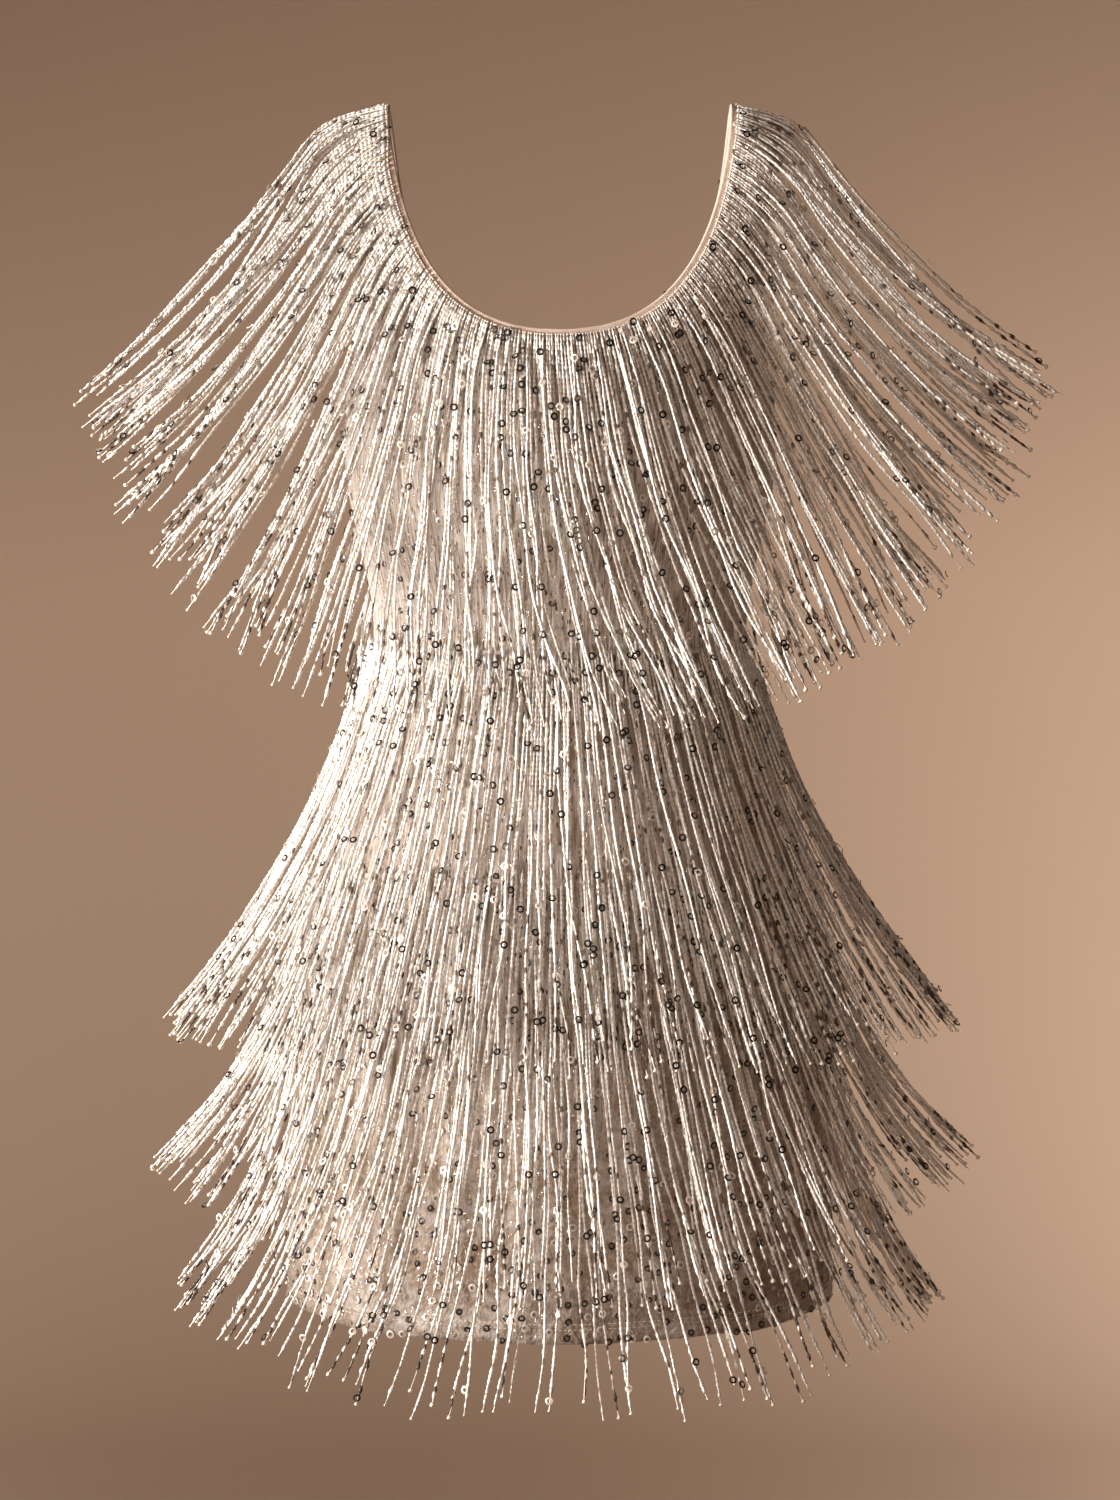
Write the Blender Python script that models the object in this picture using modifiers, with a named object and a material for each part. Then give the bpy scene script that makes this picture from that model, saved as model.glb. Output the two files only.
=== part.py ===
# Sequin fringe mini dress in its worn, hollow form.
# Metres, +Z up, +X to the viewer's right, front towards -Y.
# The origin is midway between the tops of the two shoulders.

import math
from collections import namedtuple

import bmesh
import bpy
import numpy as np
from mathutils import Vector

# Cloth
WALL = 0.0015
SEAM_GAP = 0.0003
LAID_GAP = 0.0007
FRONT, BACK = -1, 1

# Neck, shoulder and hem
NECK_HALF_WIDTH = 0.1184
NECK_DROP = {FRONT: 0.1575, BACK: 0.190}
NECK_SQUARENESS = 2.3
NECK_TAPER = 0.0035
SHOULDER_FALL = 0.016
SHOULDER_ROUND = 0.036
SECTION_POWER = 0.92
UNDERARM = -0.200
CHEST = -0.240
WAIST = -0.367
HEM = -0.833
HEM_DIP = 0.005

# Soft waves of the skirt, which grow from the low hip down to the hem
WAVES = 8
WAVE_DEPTH = 0.0025
WAVE_START = -0.640

# The panel's grid
HALF_COLUMNS = 9
SKIRT_ROWS = 11
BODICE_ROWS = 5
YOKE_ROWS = 12

# Binding of the neck
BINDING_WIDTH = 0.007
BINDING_THICK = 0.001
BINDING_GAP = 0.0004

# Fringe
STRAND_WIDTH = 0.0032
STRIP_THICK = 0.0024
STRIP_HEIGHT = 0.004
NECK_STRIP_INSET = 0.013
NECK_STRIP_END = 0.955
ROW_STEPS = 5
TIP_TAPER = 0.80

# Body sections: level, half width, depth in front of and behind the shoulders
Section = namedtuple("Section", "level half_width front back")
SECTIONS = [
    Section(-0.8400, 0.1910, 0.120, 0.121),
    Section(-0.6400, 0.1865, 0.111, 0.125),
    Section(-0.6000, 0.1825, 0.109, 0.126),
    Section(-0.5500, 0.1750, 0.106, 0.124),
    Section(-0.5100, 0.1665, 0.103, 0.118),
    Section(-0.4650, 0.1555, 0.100, 0.108),
    Section(-0.4300, 0.1465, 0.096, 0.098),
    Section(-0.3950, 0.1370, 0.093, 0.089),
    Section(-0.3670, 0.1303, 0.093, 0.086),
    Section(-0.3400, 0.1315, 0.098, 0.087),
    Section(-0.3080, 0.1380, 0.107, 0.090),
    Section(-0.2830, 0.1437, 0.112, 0.092),
    Section(-0.2500, 0.1490, 0.113, 0.093),
    Section(-0.2000, 0.1490, 0.106, 0.090),
    Section(-0.1575, 0.1560, 0.097, 0.084),
    Section(-0.1000, 0.1720, 0.080, 0.072),
    Section(-0.0500, 0.1850, 0.056, 0.052),
    Section(0.0000, 0.2000, 0.036, 0.034),
]

# Armhole edge from the underarm up to the shoulder tip: share of the way, half width, level
ArmPoint = namedtuple("ArmPoint", "share half_width level")
ARMHOLE = [
    ArmPoint(0.0, 0.1490, UNDERARM),
    ArmPoint(0.2, 0.1405, -0.172),
    ArmPoint(0.5, 0.1385, -0.115),
    ArmPoint(0.8, 0.1480, -0.052),
    ArmPoint(1.0, 0.1630, -SHOULDER_FALL),
]

# Neck fringe: share of the way from the neck's centre (0) to the shoulder (1), minus towards -X.
# Lean of the strand in degrees from straight down, on the cloth and where it leaves it, and its tip.
NeckStrand = namedtuple("NeckStrand", "share lean free_lean tip_x tip_y tip_z")
NECK_STRANDS = {
    FRONT: [
        NeckStrand(-1.00, -78, -24, -0.337, -0.022, -0.190),
        NeckStrand(-0.90, -62, -20, -0.322, -0.036, -0.220),
        NeckStrand(-0.80, -48, -17, -0.304, -0.052, -0.256),
        NeckStrand(-0.70, -38, -16, -0.279, -0.070, -0.298),
        NeckStrand(-0.60, -30, -15, -0.250, -0.088, -0.333),
        NeckStrand(-0.50, -24, -13, -0.214, -0.104, -0.368),
        NeckStrand(-0.40, -18, -10, -0.164, -0.118, -0.398),
        NeckStrand(-0.30, -11, -6, -0.100, -0.128, -0.410),
        NeckStrand(-0.20, -5, -2, -0.047, -0.131, -0.413),
        NeckStrand(-0.10, 0, 0, 0.004, -0.132, -0.415),
        NeckStrand(0.00, 4, 3, 0.057, -0.132, -0.415),
        NeckStrand(0.10, 8, 8, 0.096, -0.131, -0.413),
        NeckStrand(0.20, 13, 13, 0.134, -0.128, -0.403),
        NeckStrand(0.30, 19, 19, 0.170, -0.124, -0.390),
        NeckStrand(0.40, 25, 24, 0.202, -0.116, -0.372),
        NeckStrand(0.50, 30, 24, 0.234, -0.104, -0.346),
        NeckStrand(0.60, 35, 21, 0.265, -0.088, -0.314),
        NeckStrand(0.70, 40, 18, 0.290, -0.070, -0.284),
        NeckStrand(0.80, 49, 18, 0.314, -0.052, -0.246),
        NeckStrand(0.90, 62, 20, 0.331, -0.036, -0.208),
        NeckStrand(1.00, 78, 23, 0.343, -0.022, -0.179),
    ],
    BACK: [
        NeckStrand(-1.00, -78, -22, -0.330, 0.022, -0.202),
        NeckStrand(-0.80, -47, -16, -0.300, 0.056, -0.262),
        NeckStrand(-0.60, -29, -14, -0.246, 0.092, -0.345),
        NeckStrand(-0.40, -17, -11, -0.168, 0.122, -0.412),
        NeckStrand(-0.20, -8, -6, -0.082, 0.136, -0.448),
        NeckStrand(0.00, 0, 0, 0.000, 0.140, -0.456),
        NeckStrand(0.20, 8, 6, 0.082, 0.136, -0.448),
        NeckStrand(0.40, 17, 11, 0.168, 0.122, -0.412),
        NeckStrand(0.60, 29, 14, 0.246, 0.092, -0.345),
        NeckStrand(0.80, 47, 16, 0.304, 0.056, -0.256),
        NeckStrand(1.00, 78, 22, 0.336, 0.022, -0.194),
    ],
}
NECK_STRAND_COUNT = {FRONT: 36, BACK: 32}
SHOULDER_REACH = (0.013, 0.037)
SHOULDER_LIFT = (0.0045, 0.0065)
FREE_STEPS = 5
FORWARD_START = 0.13

# Level rows of fringe round the body. Drop and reach are a tip's fall below its root and its stand-off
# from the cloth, at the middle of the panel and at the side seam. Drift is a swing towards +X.
FringeRow = namedtuple("FringeRow", "name level count drop side_drop reach side_reach drift")
ROWS = [
    FringeRow("waist_fringe", -0.3706, {FRONT: 30, BACK: 26}, 0.272, 0.266, 0.032, 0.083, 0.035),
    FringeRow("hip_fringe", -0.5237, {FRONT: 30, BACK: 26}, 0.274, 0.213, 0.038, 0.095, 0.035),
    FringeRow("low_hip_fringe", -0.6143, {FRONT: 28, BACK: 24}, 0.264, 0.220, 0.026, 0.072, 0.0),
]
ROW_END_ANGLE = math.radians(87)
ROW_SPREAD = 0.02
ROW_CURVE = 2.5
UNEVEN_DROP = 0.05
UNEVEN_REACH = 0.06

# Colours as linear red, green, blue
MESH_COLOUR = (0.40, 0.29, 0.22)
BINDING_COLOUR = (0.72, 0.55, 0.45)
FRINGE_COLOUR = (0.78, 0.70, 0.62)


def curve_at(positions, values, position):
    """Smooth curve through the values, read at one position. Positions rise."""
    k = min(max(int(np.searchsorted(positions, position)) - 1, 0), len(positions) - 2)
    slopes = np.gradient(np.asarray(values, float), np.asarray(positions, float))
    span = positions[k + 1] - positions[k]
    t = min(max((position - positions[k]) / span, 0.0), 1.0)
    return float(
        (2 * t**3 - 3 * t**2 + 1) * values[k]
        + (t**3 - 2 * t**2 + t) * span * slopes[k]
        + (3 * t**2 - 2 * t**3) * values[k + 1]
        + (t**3 - t**2) * span * slopes[k + 1]
    )


def column(table, name):
    return [getattr(row, name) for row in table]


def smooth_share(t):
    t = min(max(t, 0.0), 1.0)
    return t * t * (3 - 2 * t)


def half_width(level):
    return curve_at(column(SECTIONS, "level"), column(SECTIONS, "half_width"), level)


def depth(side, level):
    name = "front" if side == FRONT else "back"
    return curve_at(column(SECTIONS, "level"), column(SECTIONS, name), level)


def ridge_level(x):
    """Height of the shoulder's ridge, which falls from the neck to the shoulder's tip."""
    tip = ARMHOLE[-1].half_width
    return -SHOULDER_FALL * min(max((abs(x) - NECK_HALF_WIDTH) / (tip - NECK_HALF_WIDTH), 0.0), 1.0)


def cloth_point(side, x, z):
    """Point of the cloth's outer face at a place seen from the front."""
    sine = min(max(x / half_width(z), -1.0), 1.0)
    below = min(max((ridge_level(x) - z) / SHOULDER_ROUND, 0.0), 1.0)
    rounding = math.sqrt(1 - (1 - below) ** 2)
    y = side * depth(side, z) * math.sqrt(1 - sine * sine) ** SECTION_POWER * rounding
    swell = smooth_share((WAVE_START - z) / (WAVE_START - HEM)) * WAVE_DEPTH
    wave = 1 + swell * math.cos(WAVES * math.asin(sine)) / half_width(z)
    return Vector((x * wave, y * wave, z))


def around_point(side, angle, z, out=0.0):
    """Point at an angle round the body, 0 at the middle of the panel, and a distance off its cloth."""
    point = cloth_point(side, half_width(z) * math.sin(angle), z)
    return point + out * around_normal(side, angle, z)


def around_normal(side, angle, z):
    """Level direction square to the body at an angle round it."""
    return Vector(
        (math.sin(angle) / half_width(z), side * math.cos(angle) / depth(side, z), 0)
    ).normalized()


def neck_curve(side, shares):
    """Points (x, z) of the neck's edge on the +X half, by shares of its length from the centre."""
    angle = np.linspace(0, math.pi / 2, 400)
    power = 2 / NECK_SQUARENESS
    x = NECK_HALF_WIDTH * np.sin(angle) ** power
    fall = np.cos(angle) ** power
    x = x - NECK_TAPER * np.sin(math.pi * fall)
    z = -NECK_DROP[side] * fall
    length = np.concatenate([[0], np.cumsum(np.hypot(np.diff(x), np.diff(z)))])
    places = np.asarray(shares) * length[-1]
    return np.interp(places, length, x), np.interp(places, length, z)


def arm_point(share):
    shares = column(ARMHOLE, "share")
    return (
        curve_at(shares, column(ARMHOLE, "half_width"), share),
        curve_at(shares, column(ARMHOLE, "level"), share),
    )


def yoke_shares():
    """Rows of the yoke, as shares from the neck's centre to the shoulder, closer at the shoulder."""
    return [1 - (1 - k / YOKE_ROWS) ** 1.3 for k in range(YOKE_ROWS + 1)]


def panel_row_levels(side):
    """Pairs of levels, at the centre and at the side seam, of the rows under the yoke."""
    skirt = [WAIST + (HEM - WAIST) * (k / SKIRT_ROWS) ** 1.25 for k in range(SKIRT_ROWS, 0, -1)]
    bodice = [WAIST + (CHEST - WAIST) * k / BODICE_ROWS for k in range(BODICE_ROWS + 1)]
    rows = [(z, z) for z in skirt + bodice]
    rows[0] = (HEM - HEM_DIP, HEM)
    neck = -NECK_DROP[side]
    rows.append(((CHEST + neck) / 2, (CHEST + UNDERARM) / 2))
    return rows


def panel_rows(side):
    """Grid of points of a panel's outer face, from hem to shoulder, each row from centre to side."""
    rows = []
    for centre, edge in panel_row_levels(side):
        row = []
        for k in range(HALF_COLUMNS + 1):
            share = k / HALF_COLUMNS
            z = centre + (edge - centre) * smooth_share(share)
            row.append(cloth_point(side, half_width(z) * math.sin(share * math.pi / 2), z))
        rows.append(row)
    shares = yoke_shares()
    neck_x, neck_z = neck_curve(side, shares)
    for m, share in enumerate(shares):
        arm_x, arm_z = arm_point(share)
        bunching = min(share * 3, 1.0)
        row = []
        for k in range(HALF_COLUMNS + 1):
            across = k / HALF_COLUMNS
            spread = (1 - bunching) * math.sin(across * math.pi / 2) + bunching * across
            x = neck_x[m] + (arm_x - neck_x[m]) * spread
            z = neck_z[m] + (arm_z - neck_z[m]) * across
            row.append(cloth_point(side, x, z))
        rows.append(row)
    return rows


def add_material(name, colour, roughness, metallic=0.0):
    material = bpy.data.materials.new(name)
    material.use_nodes = True
    shader = material.node_tree.nodes["Principled BSDF"]
    shader.inputs["Base Color"].default_value = (*colour, 1)
    shader.inputs["Roughness"].default_value = roughness
    shader.inputs["Metallic"].default_value = metallic
    return material


def add_object(name, bm, material, collection):
    mesh = bpy.data.meshes.new(name)
    bm.to_mesh(mesh)
    bm.free()
    mesh.materials.append(material)
    obj = bpy.data.objects.new(name, mesh)
    collection.objects.link(obj)
    return obj


def build_panel(name, side, material, collection):
    """A front or back panel: one sheet with an open neck, given its wall inwards."""
    bm = bmesh.new()
    lower = len(panel_row_levels(side))
    grid = []
    for r, row in enumerate(panel_rows(side)):
        right = [bm.verts.new(p) for p in row]
        left = [bm.verts.new((-p.x, p.y, p.z)) for p in row[1:]]
        centre = right[0] if r <= lower else bm.verts.new((-row[0].x, row[0].y, row[0].z))
        grid.append((right, [centre] + left))
    for low, high in zip(grid, grid[1:]):
        for half, turn in ((0, side == FRONT), (1, side == BACK)):
            for k in range(HALF_COLUMNS):
                corners = [low[half][k], low[half][k + 1], high[half][k + 1], high[half][k]]
                bm.faces.new(corners if turn else corners[::-1])
    sheet = add_object(name, bm, material, collection)
    solidify = sheet.modifiers.new("wall", "SOLIDIFY")
    solidify.thickness = WALL
    solidify.offset = -1
    solidify.use_even_offset = True
    cut_at_seams(sheet, side)
    return sheet


def cut_at_seams(sheet, side):
    """Makes the walled sheet a plain mesh whose seam edges stop short of the plane y = 0."""
    evaluated = sheet.evaluated_get(bpy.context.evaluated_depsgraph_get())
    mesh = bpy.data.meshes.new_from_object(evaluated)
    for vertex in mesh.vertices:
        vertex.co.y = side * max(side * vertex.co.y, SEAM_GAP / 2)
    sheet.modifiers.clear()
    sheet.data = mesh


def in_surface_frame(side, x, z, direction):
    """Point on the cloth, its outward normal and the direction (x, z) laid along the cloth."""
    step = 0.001
    point = cloth_point(side, x, z)
    along_x = (cloth_point(side, x + step, z) - cloth_point(side, x - step, z)).normalized()
    along_z = (cloth_point(side, x, z + step / 2) - cloth_point(side, x, z - step)).normalized()
    normal = along_x.cross(along_z).normalized()
    normal *= 1 if normal.y * side > 0 else -1
    down = Vector((direction[0], 0, direction[1]))
    down = (down - normal * down.dot(normal)).normalized()
    return point, normal, down


def neck_frame(side, place, inset):
    """Frame at a place from -1 to 1 along the neck, an inset away from its edge."""
    share = abs(place)
    mirror = 1 if place >= 0 else -1
    x, z = neck_curve(side, [max(share - 0.004, 0), share, min(share + 0.004, 1)])
    along = Vector((x[2] - x[0], 0, z[2] - z[0])).normalized()
    away = (along.z, -along.x)
    point, normal, down = in_surface_frame(side, x[1] + away[0] * inset, z[1] + away[1] * inset, away)
    return tuple(Vector((mirror * v.x, v.y, v.z)) for v in (point, normal, down))


def build_neck_binding(name, material, collection):
    """A band that lies on both panels along the neck and turns over their edge."""
    lap = 0.002
    near, far = BINDING_GAP, BINDING_GAP + BINDING_THICK
    section = [
        (BINDING_WIDTH, near),
        (BINDING_WIDTH, far),
        (-far, far),
        (-far, -WALL - near),
        (-near, -WALL - near),
        (-near, near),
    ]
    stations = []
    for side, mirror in ((FRONT, 1), (BACK, 1), (BACK, -1), (FRONT, -1)):
        shares = yoke_shares()
        xs, zs = neck_curve(side, shares)
        upward = (side == FRONT) == (mirror == 1)
        order = range(YOKE_ROWS) if upward else range(YOKE_ROWS, 0, -1)
        for m in order:
            share = min(shares[m], 0.985)
            _, normal, down = neck_frame(side, share, lap)
            if m == YOKE_ROWS:
                slope = SHOULDER_FALL / (ARMHOLE[-1].half_width - NECK_HALF_WIDTH)
                down = Vector((1, 0, -slope)).normalized()
                normal = Vector((slope, 0, 1)).normalized()
            edge = cloth_point(side, float(xs[m]), float(zs[m]))
            corners = [edge + down * across + normal * out for across, out in section]
            stations.append([Vector((mirror * c.x, c.y, c.z)) for c in corners])
    bm = bmesh.new()
    rings = [[bm.verts.new(c) for c in station] for station in stations]
    count = len(section)
    for ring, following in zip(rings, rings[1:] + rings[:1]):
        for k in range(count):
            bm.faces.new((ring[k], ring[(k + 1) % count], following[(k + 1) % count], following[k]))
    bmesh.ops.recalc_face_normals(bm, faces=bm.faces)
    return add_object(name, bm, material, collection)


def grow_strand(bm, face, path):
    """Extrudes a strand from its root face along the path, turning and thinning it on the way."""
    origin = face.calc_center_median()
    points = [origin] + path
    heading = (points[1] - points[0]).normalized()
    taper = TIP_TAPER ** (1 / len(path))
    for k in range(1, len(points)):
        face = bmesh.ops.extrude_discrete_faces(bm, faces=[face])["faces"][0]
        ahead = points[k + 1] - points[k] if k + 1 < len(points) else points[k] - points[k - 1]
        next_heading = ((points[k] - points[k - 1]).normalized() + ahead.normalized()).normalized()
        turn = heading.rotation_difference(next_heading)
        for vert in face.verts:
            vert.co = points[k] + turn @ (vert.co - points[k - 1]) * taper
        heading = next_heading


def build_fringe(name, frames, paths, material, collection):
    """A narrow strip clear of the cloth with one three-sided strand fused to it at each frame."""
    bm = bmesh.new()
    tops, inners, outers = [], [], []
    for k, (point, normal, down) in enumerate(frames):
        before = frames[max(k - 1, 0)][0]
        after = frames[min(k + 1, len(frames) - 1)][0]
        along = after - before
        along = (along - normal * along.dot(normal)).normalized() * STRAND_WIDTH / 2
        raised = point + normal * (LAID_GAP + STRIP_THICK)
        tops.append(bm.verts.new(point - down * STRIP_HEIGHT + normal * (LAID_GAP + STRIP_THICK / 3)))
        inners.append(bm.verts.new(point + normal * LAID_GAP))
        outers.append((bm.verts.new(raised - along), bm.verts.new(raised + along)))
    roots = []
    last = len(frames) - 1
    for k in range(last + 1):
        roots.append(bm.faces.new((inners[k], outers[k][0], outers[k][1])))
        bm.faces.new((tops[k], outers[k][1], outers[k][0]))
        if k < last:
            bm.faces.new((tops[k], inners[k], inners[k + 1], tops[k + 1]))
            bm.faces.new((tops[k], tops[k + 1], outers[k + 1][0], outers[k][1]))
            bm.faces.new((inners[k], outers[k][1], outers[k + 1][0], inners[k + 1]))
    bm.faces.new((tops[0], outers[0][0], inners[0]))
    bm.faces.new((tops[last], inners[last], outers[last][1]))
    bmesh.ops.recalc_face_normals(bm, faces=bm.faces)
    for root, path in zip(roots, paths):
        grow_strand(bm, root, path)
    bmesh.ops.recalc_face_normals(bm, faces=bm.faces)
    return add_object(name, bm, material, collection)


def unevenness(k, pace):
    """A repeatable value from -1 to 1 that differs from one strand to the next."""
    return math.sin(k * pace) * math.cos(k * pace * 0.37 + 1)


def neck_strand_path(side, place, k):
    """A strand from the neck: over the chest or shoulder, then free in one bend to its tip."""
    table = NECK_STRANDS[side]
    lean, free_lean, *tip = (
        curve_at(column(table, "share"), column(table, name), place) for name in NeckStrand._fields[1:]
    )
    start = neck_frame(side, place, NECK_STRIP_INSET)[0]
    tip = start + (Vector(tip) - start) * (1 + UNEVEN_DROP * unevenness(k, 2.4))
    path = []
    for reach, lift in zip(SHOULDER_REACH, SHOULDER_LIFT):
        x = start.x + reach * math.sin(math.radians(lean))
        z = start.z - reach * math.cos(math.radians(lean))
        point, normal, _ = in_surface_frame(side, x, min(z, ridge_level(x) - lift / 2), (0, -1))
        path.append(point + normal * lift)
    edge = path[-1]
    span = (tip - edge).length
    free_lean = math.radians(free_lean)
    heading = Vector((math.sin(free_lean), side * FORWARD_START, -math.cos(free_lean))) * span
    for n in range(1, FREE_STEPS + 1):
        t = n / FREE_STEPS
        path.append(edge + heading * t + (tip - edge - heading) * t * t)
    return path


def build_neck_fringe(name, side, material, collection):
    count = NECK_STRAND_COUNT[side]
    places = [NECK_STRIP_END * (2 * k / (count - 1) - 1) for k in range(count)]
    frames = [neck_frame(side, place, NECK_STRIP_INSET) for place in places]
    paths = [neck_strand_path(side, place, k) for k, place in enumerate(places)]
    return build_fringe(name, frames, paths, material, collection)


def row_strand_path(row, side, angle, k):
    """A strand of a level row: close to the cloth at first, then swinging clear of the rows below."""
    sideways = math.sin(angle) ** 2
    drop = row.drop + (row.side_drop - row.drop) * sideways
    reach = row.reach + (row.side_reach - row.reach) * sideways
    drop *= 1 + UNEVEN_DROP * unevenness(k, 2.4)
    reach *= 1 + UNEVEN_REACH * (math.cos(4 * angle) - math.sin(7 * angle) / 2 + unevenness(k, 1.7))
    drift = row.drift * math.cos(angle) if side == FRONT else 0.0
    path = []
    for n in range(1, ROW_STEPS + 1):
        t = n / ROW_STEPS
        out = LAID_GAP + STRIP_THICK * 2 / 3 + ROW_SPREAD * drop * t + reach * t**ROW_CURVE
        path.append(around_point(side, angle + drift * t * t, row.level - drop * t, out))
    return path


def build_fringe_row(row, side, material, collection):
    count = row.count[side]
    angles = [ROW_END_ANGLE * (2 * k / (count - 1) - 1) for k in range(count)]
    down = Vector((0, 0, -1))
    frames = [
        (around_point(side, angle, row.level), around_normal(side, angle, row.level), down)
        for angle in angles
    ]
    paths = [row_strand_path(row, side, angle, k) for k, angle in enumerate(angles)]
    name = row.name + ("_front" if side == FRONT else "_back")
    return build_fringe(name, frames, paths, material, collection)


def main():
    for obj in list(bpy.data.objects):
        bpy.data.objects.remove(obj, do_unlink=True)
    dress = bpy.data.collections.new("sequin_mini_dress")
    bpy.context.scene.collection.children.link(dress)

    mesh_cloth = add_material("sequin_mesh_cloth", MESH_COLOUR, 0.6)
    tape = add_material("binding_tape", BINDING_COLOUR, 0.7)
    sequins = add_material("sequin_strands", FRINGE_COLOUR, 0.35, 0.3)

    build_panel("front_panel", FRONT, mesh_cloth, dress)
    build_panel("back_panel", BACK, mesh_cloth, dress)
    build_neck_binding("neck_binding", tape, dress)
    build_neck_fringe("neck_fringe_front", FRONT, sequins, dress)
    build_neck_fringe("neck_fringe_back", BACK, sequins, dress)
    for row in ROWS:
        for side in (FRONT, BACK):
            build_fringe_row(row, side, sequins, dress)


main()
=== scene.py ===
# Sequin fringe mini dress in its worn form: the cloth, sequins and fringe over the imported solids.
# Metres, +Z up, front towards -Y, origin midway between the tops of the shoulders.
import math

import bpy
import numpy as np
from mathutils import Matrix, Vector, noise


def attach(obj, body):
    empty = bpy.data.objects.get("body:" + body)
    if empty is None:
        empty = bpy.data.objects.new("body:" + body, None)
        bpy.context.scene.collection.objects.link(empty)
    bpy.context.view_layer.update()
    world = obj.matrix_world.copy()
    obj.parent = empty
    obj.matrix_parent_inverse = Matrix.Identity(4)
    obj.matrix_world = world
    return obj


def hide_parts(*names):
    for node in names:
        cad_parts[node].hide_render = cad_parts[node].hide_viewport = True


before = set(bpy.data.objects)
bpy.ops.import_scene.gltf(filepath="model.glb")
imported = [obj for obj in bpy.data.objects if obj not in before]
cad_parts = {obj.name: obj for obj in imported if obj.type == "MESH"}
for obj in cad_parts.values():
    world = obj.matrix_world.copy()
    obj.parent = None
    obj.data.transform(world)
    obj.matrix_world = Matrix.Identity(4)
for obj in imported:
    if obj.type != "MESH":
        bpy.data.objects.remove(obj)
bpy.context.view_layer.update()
front, back = -1, 1
sideNames = {front: "Front", back: "Back"}
nodeSuffix = {front: "_front", back: "_back"}


# Small helpers for nodes, meshes and curves

def hexColour(code):  # sRGB hex to linear, with alpha
    channels = [int(code[k:k + 2], 16) / 255 for k in (1, 3, 5)]
    return [c / 12.92 if c <= 0.04045 else ((c + 0.055) / 1.055) ** 2.4 for c in channels] + [1.0]


def addNode(tree, kind, inputs=None, **settings):  # a value that is a socket is linked, any other is set
    node = tree.nodes.new(kind)
    for name, value in settings.items():
        setattr(node, name, value)
    for name, value in (inputs or {}).items():
        if isinstance(value, bpy.types.NodeSocket):
            tree.links.new(value, node.inputs[name])
        else:
            node.inputs[name].default_value = value
    return node


def newMaterial(name, constants):
    material = bpy.data.materials.new(name)
    material.use_nodes = True
    shader = material.node_tree.nodes["Principled BSDF"]
    for socket, value in constants.items():
        shader.inputs[socket].default_value = value
    return material, material.node_tree, shader


def newTree(name, settings):  # with a named input for each setting, a whole number for a seed
    tree = bpy.data.node_groups.new(name, "GeometryNodeTree")
    for direction in ("INPUT", "OUTPUT"):
        tree.interface.new_socket("Geometry", in_out=direction, socket_type="NodeSocketGeometry")
    for label, value in settings.items():
        kind = "NodeSocketInt" if isinstance(value, int) else "NodeSocketFloat"
        tree.interface.new_socket(label, in_out="INPUT", socket_type=kind).default_value = value
    return tree, addNode(tree, "NodeGroupInput").outputs


def ringShape(tree, radius, sides, inner, outer):  # a band swept round a circle
    circle = addNode(tree, "GeometryNodeCurvePrimitiveCircle", {"Resolution": sides, "Radius": radius})
    band = addNode(tree, "GeometryNodeCurvePrimitiveLine", {"Start": inner, "End": outer})
    return addNode(tree, "GeometryNodeCurveToMesh", {
        "Curve": circle.outputs[0], "Profile Curve": band.outputs[0]}).outputs[0]


def turnedOn(tree, rotation, euler):  # a rotation turned further about its own axes
    turn = addNode(tree, "FunctionNodeEulerToRotation", {0: euler})
    return addNode(tree, "FunctionNodeRotateRotation", {
        0: rotation, 1: turn.outputs[0]}, rotation_space="LOCAL").outputs[0]


def madeReal(tree, instances, material):  # instances turned to a plain mesh in their material
    real = addNode(tree, "GeometryNodeRealizeInstances", {0: instances})
    return addNode(tree, "GeometryNodeSetMaterial", {"Geometry": real.outputs[0], "Material": material}).outputs[0]


def bakedMesh(source):  # the mesh that its modifiers make
    graph = bpy.context.evaluated_depsgraph_get()
    return bpy.data.meshes.new_from_object(
        source.evaluated_get(graph), preserve_all_data_layers=True, depsgraph=graph)


def growPiece(name, source, tree, values):  # runs the tree on the source and keeps a plain mesh
    modifier = source.modifiers.new(name, "NODES")
    modifier.node_group = tree
    for item in tree.interface.items_tree:
        if item.in_out == "INPUT" and item.name in values:
            modifier[item.identifier] = values[item.name]
    piece = addPiece(name, bakedMesh(source))
    bpy.data.objects.remove(source)
    return piece


def addPiece(name, mesh):
    mesh.name = name
    piece = bpy.data.objects.new(name, mesh)
    bpy.context.scene.collection.objects.link(piece)
    return piece


def meshOf(name, points, edges=(), faces=()):
    mesh = bpy.data.meshes.new(name)
    mesh.from_pydata([tuple(p) for p in points], [tuple(e) for e in edges], [tuple(f) for f in faces])
    return mesh


def unit(vectors):
    return vectors / np.maximum(np.linalg.norm(vectors, axis=-1, keepdims=True), 1e-12)


def smoothCurve(places, values, where):
    places, values, where = (np.asarray(a, float) for a in (places, values, where))
    slopes = np.gradient(values, places)
    k = np.clip(np.searchsorted(places, where) - 1, 0, len(places) - 2)
    span = places[k + 1] - places[k]
    t = np.clip((where - places[k]) / span, 0, 1)
    return ((2 * t**3 - 3 * t**2 + 1) * values[k] + (t**3 - 2 * t**2 + t) * span * slopes[k]
            + (3 * t**2 - 2 * t**3) * values[k + 1] + (t**3 - t**2) * span * slopes[k + 1])


def smoothShare(t):
    t = np.clip(t, 0, 1)
    return t * t * (3 - 2 * t)


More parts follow.
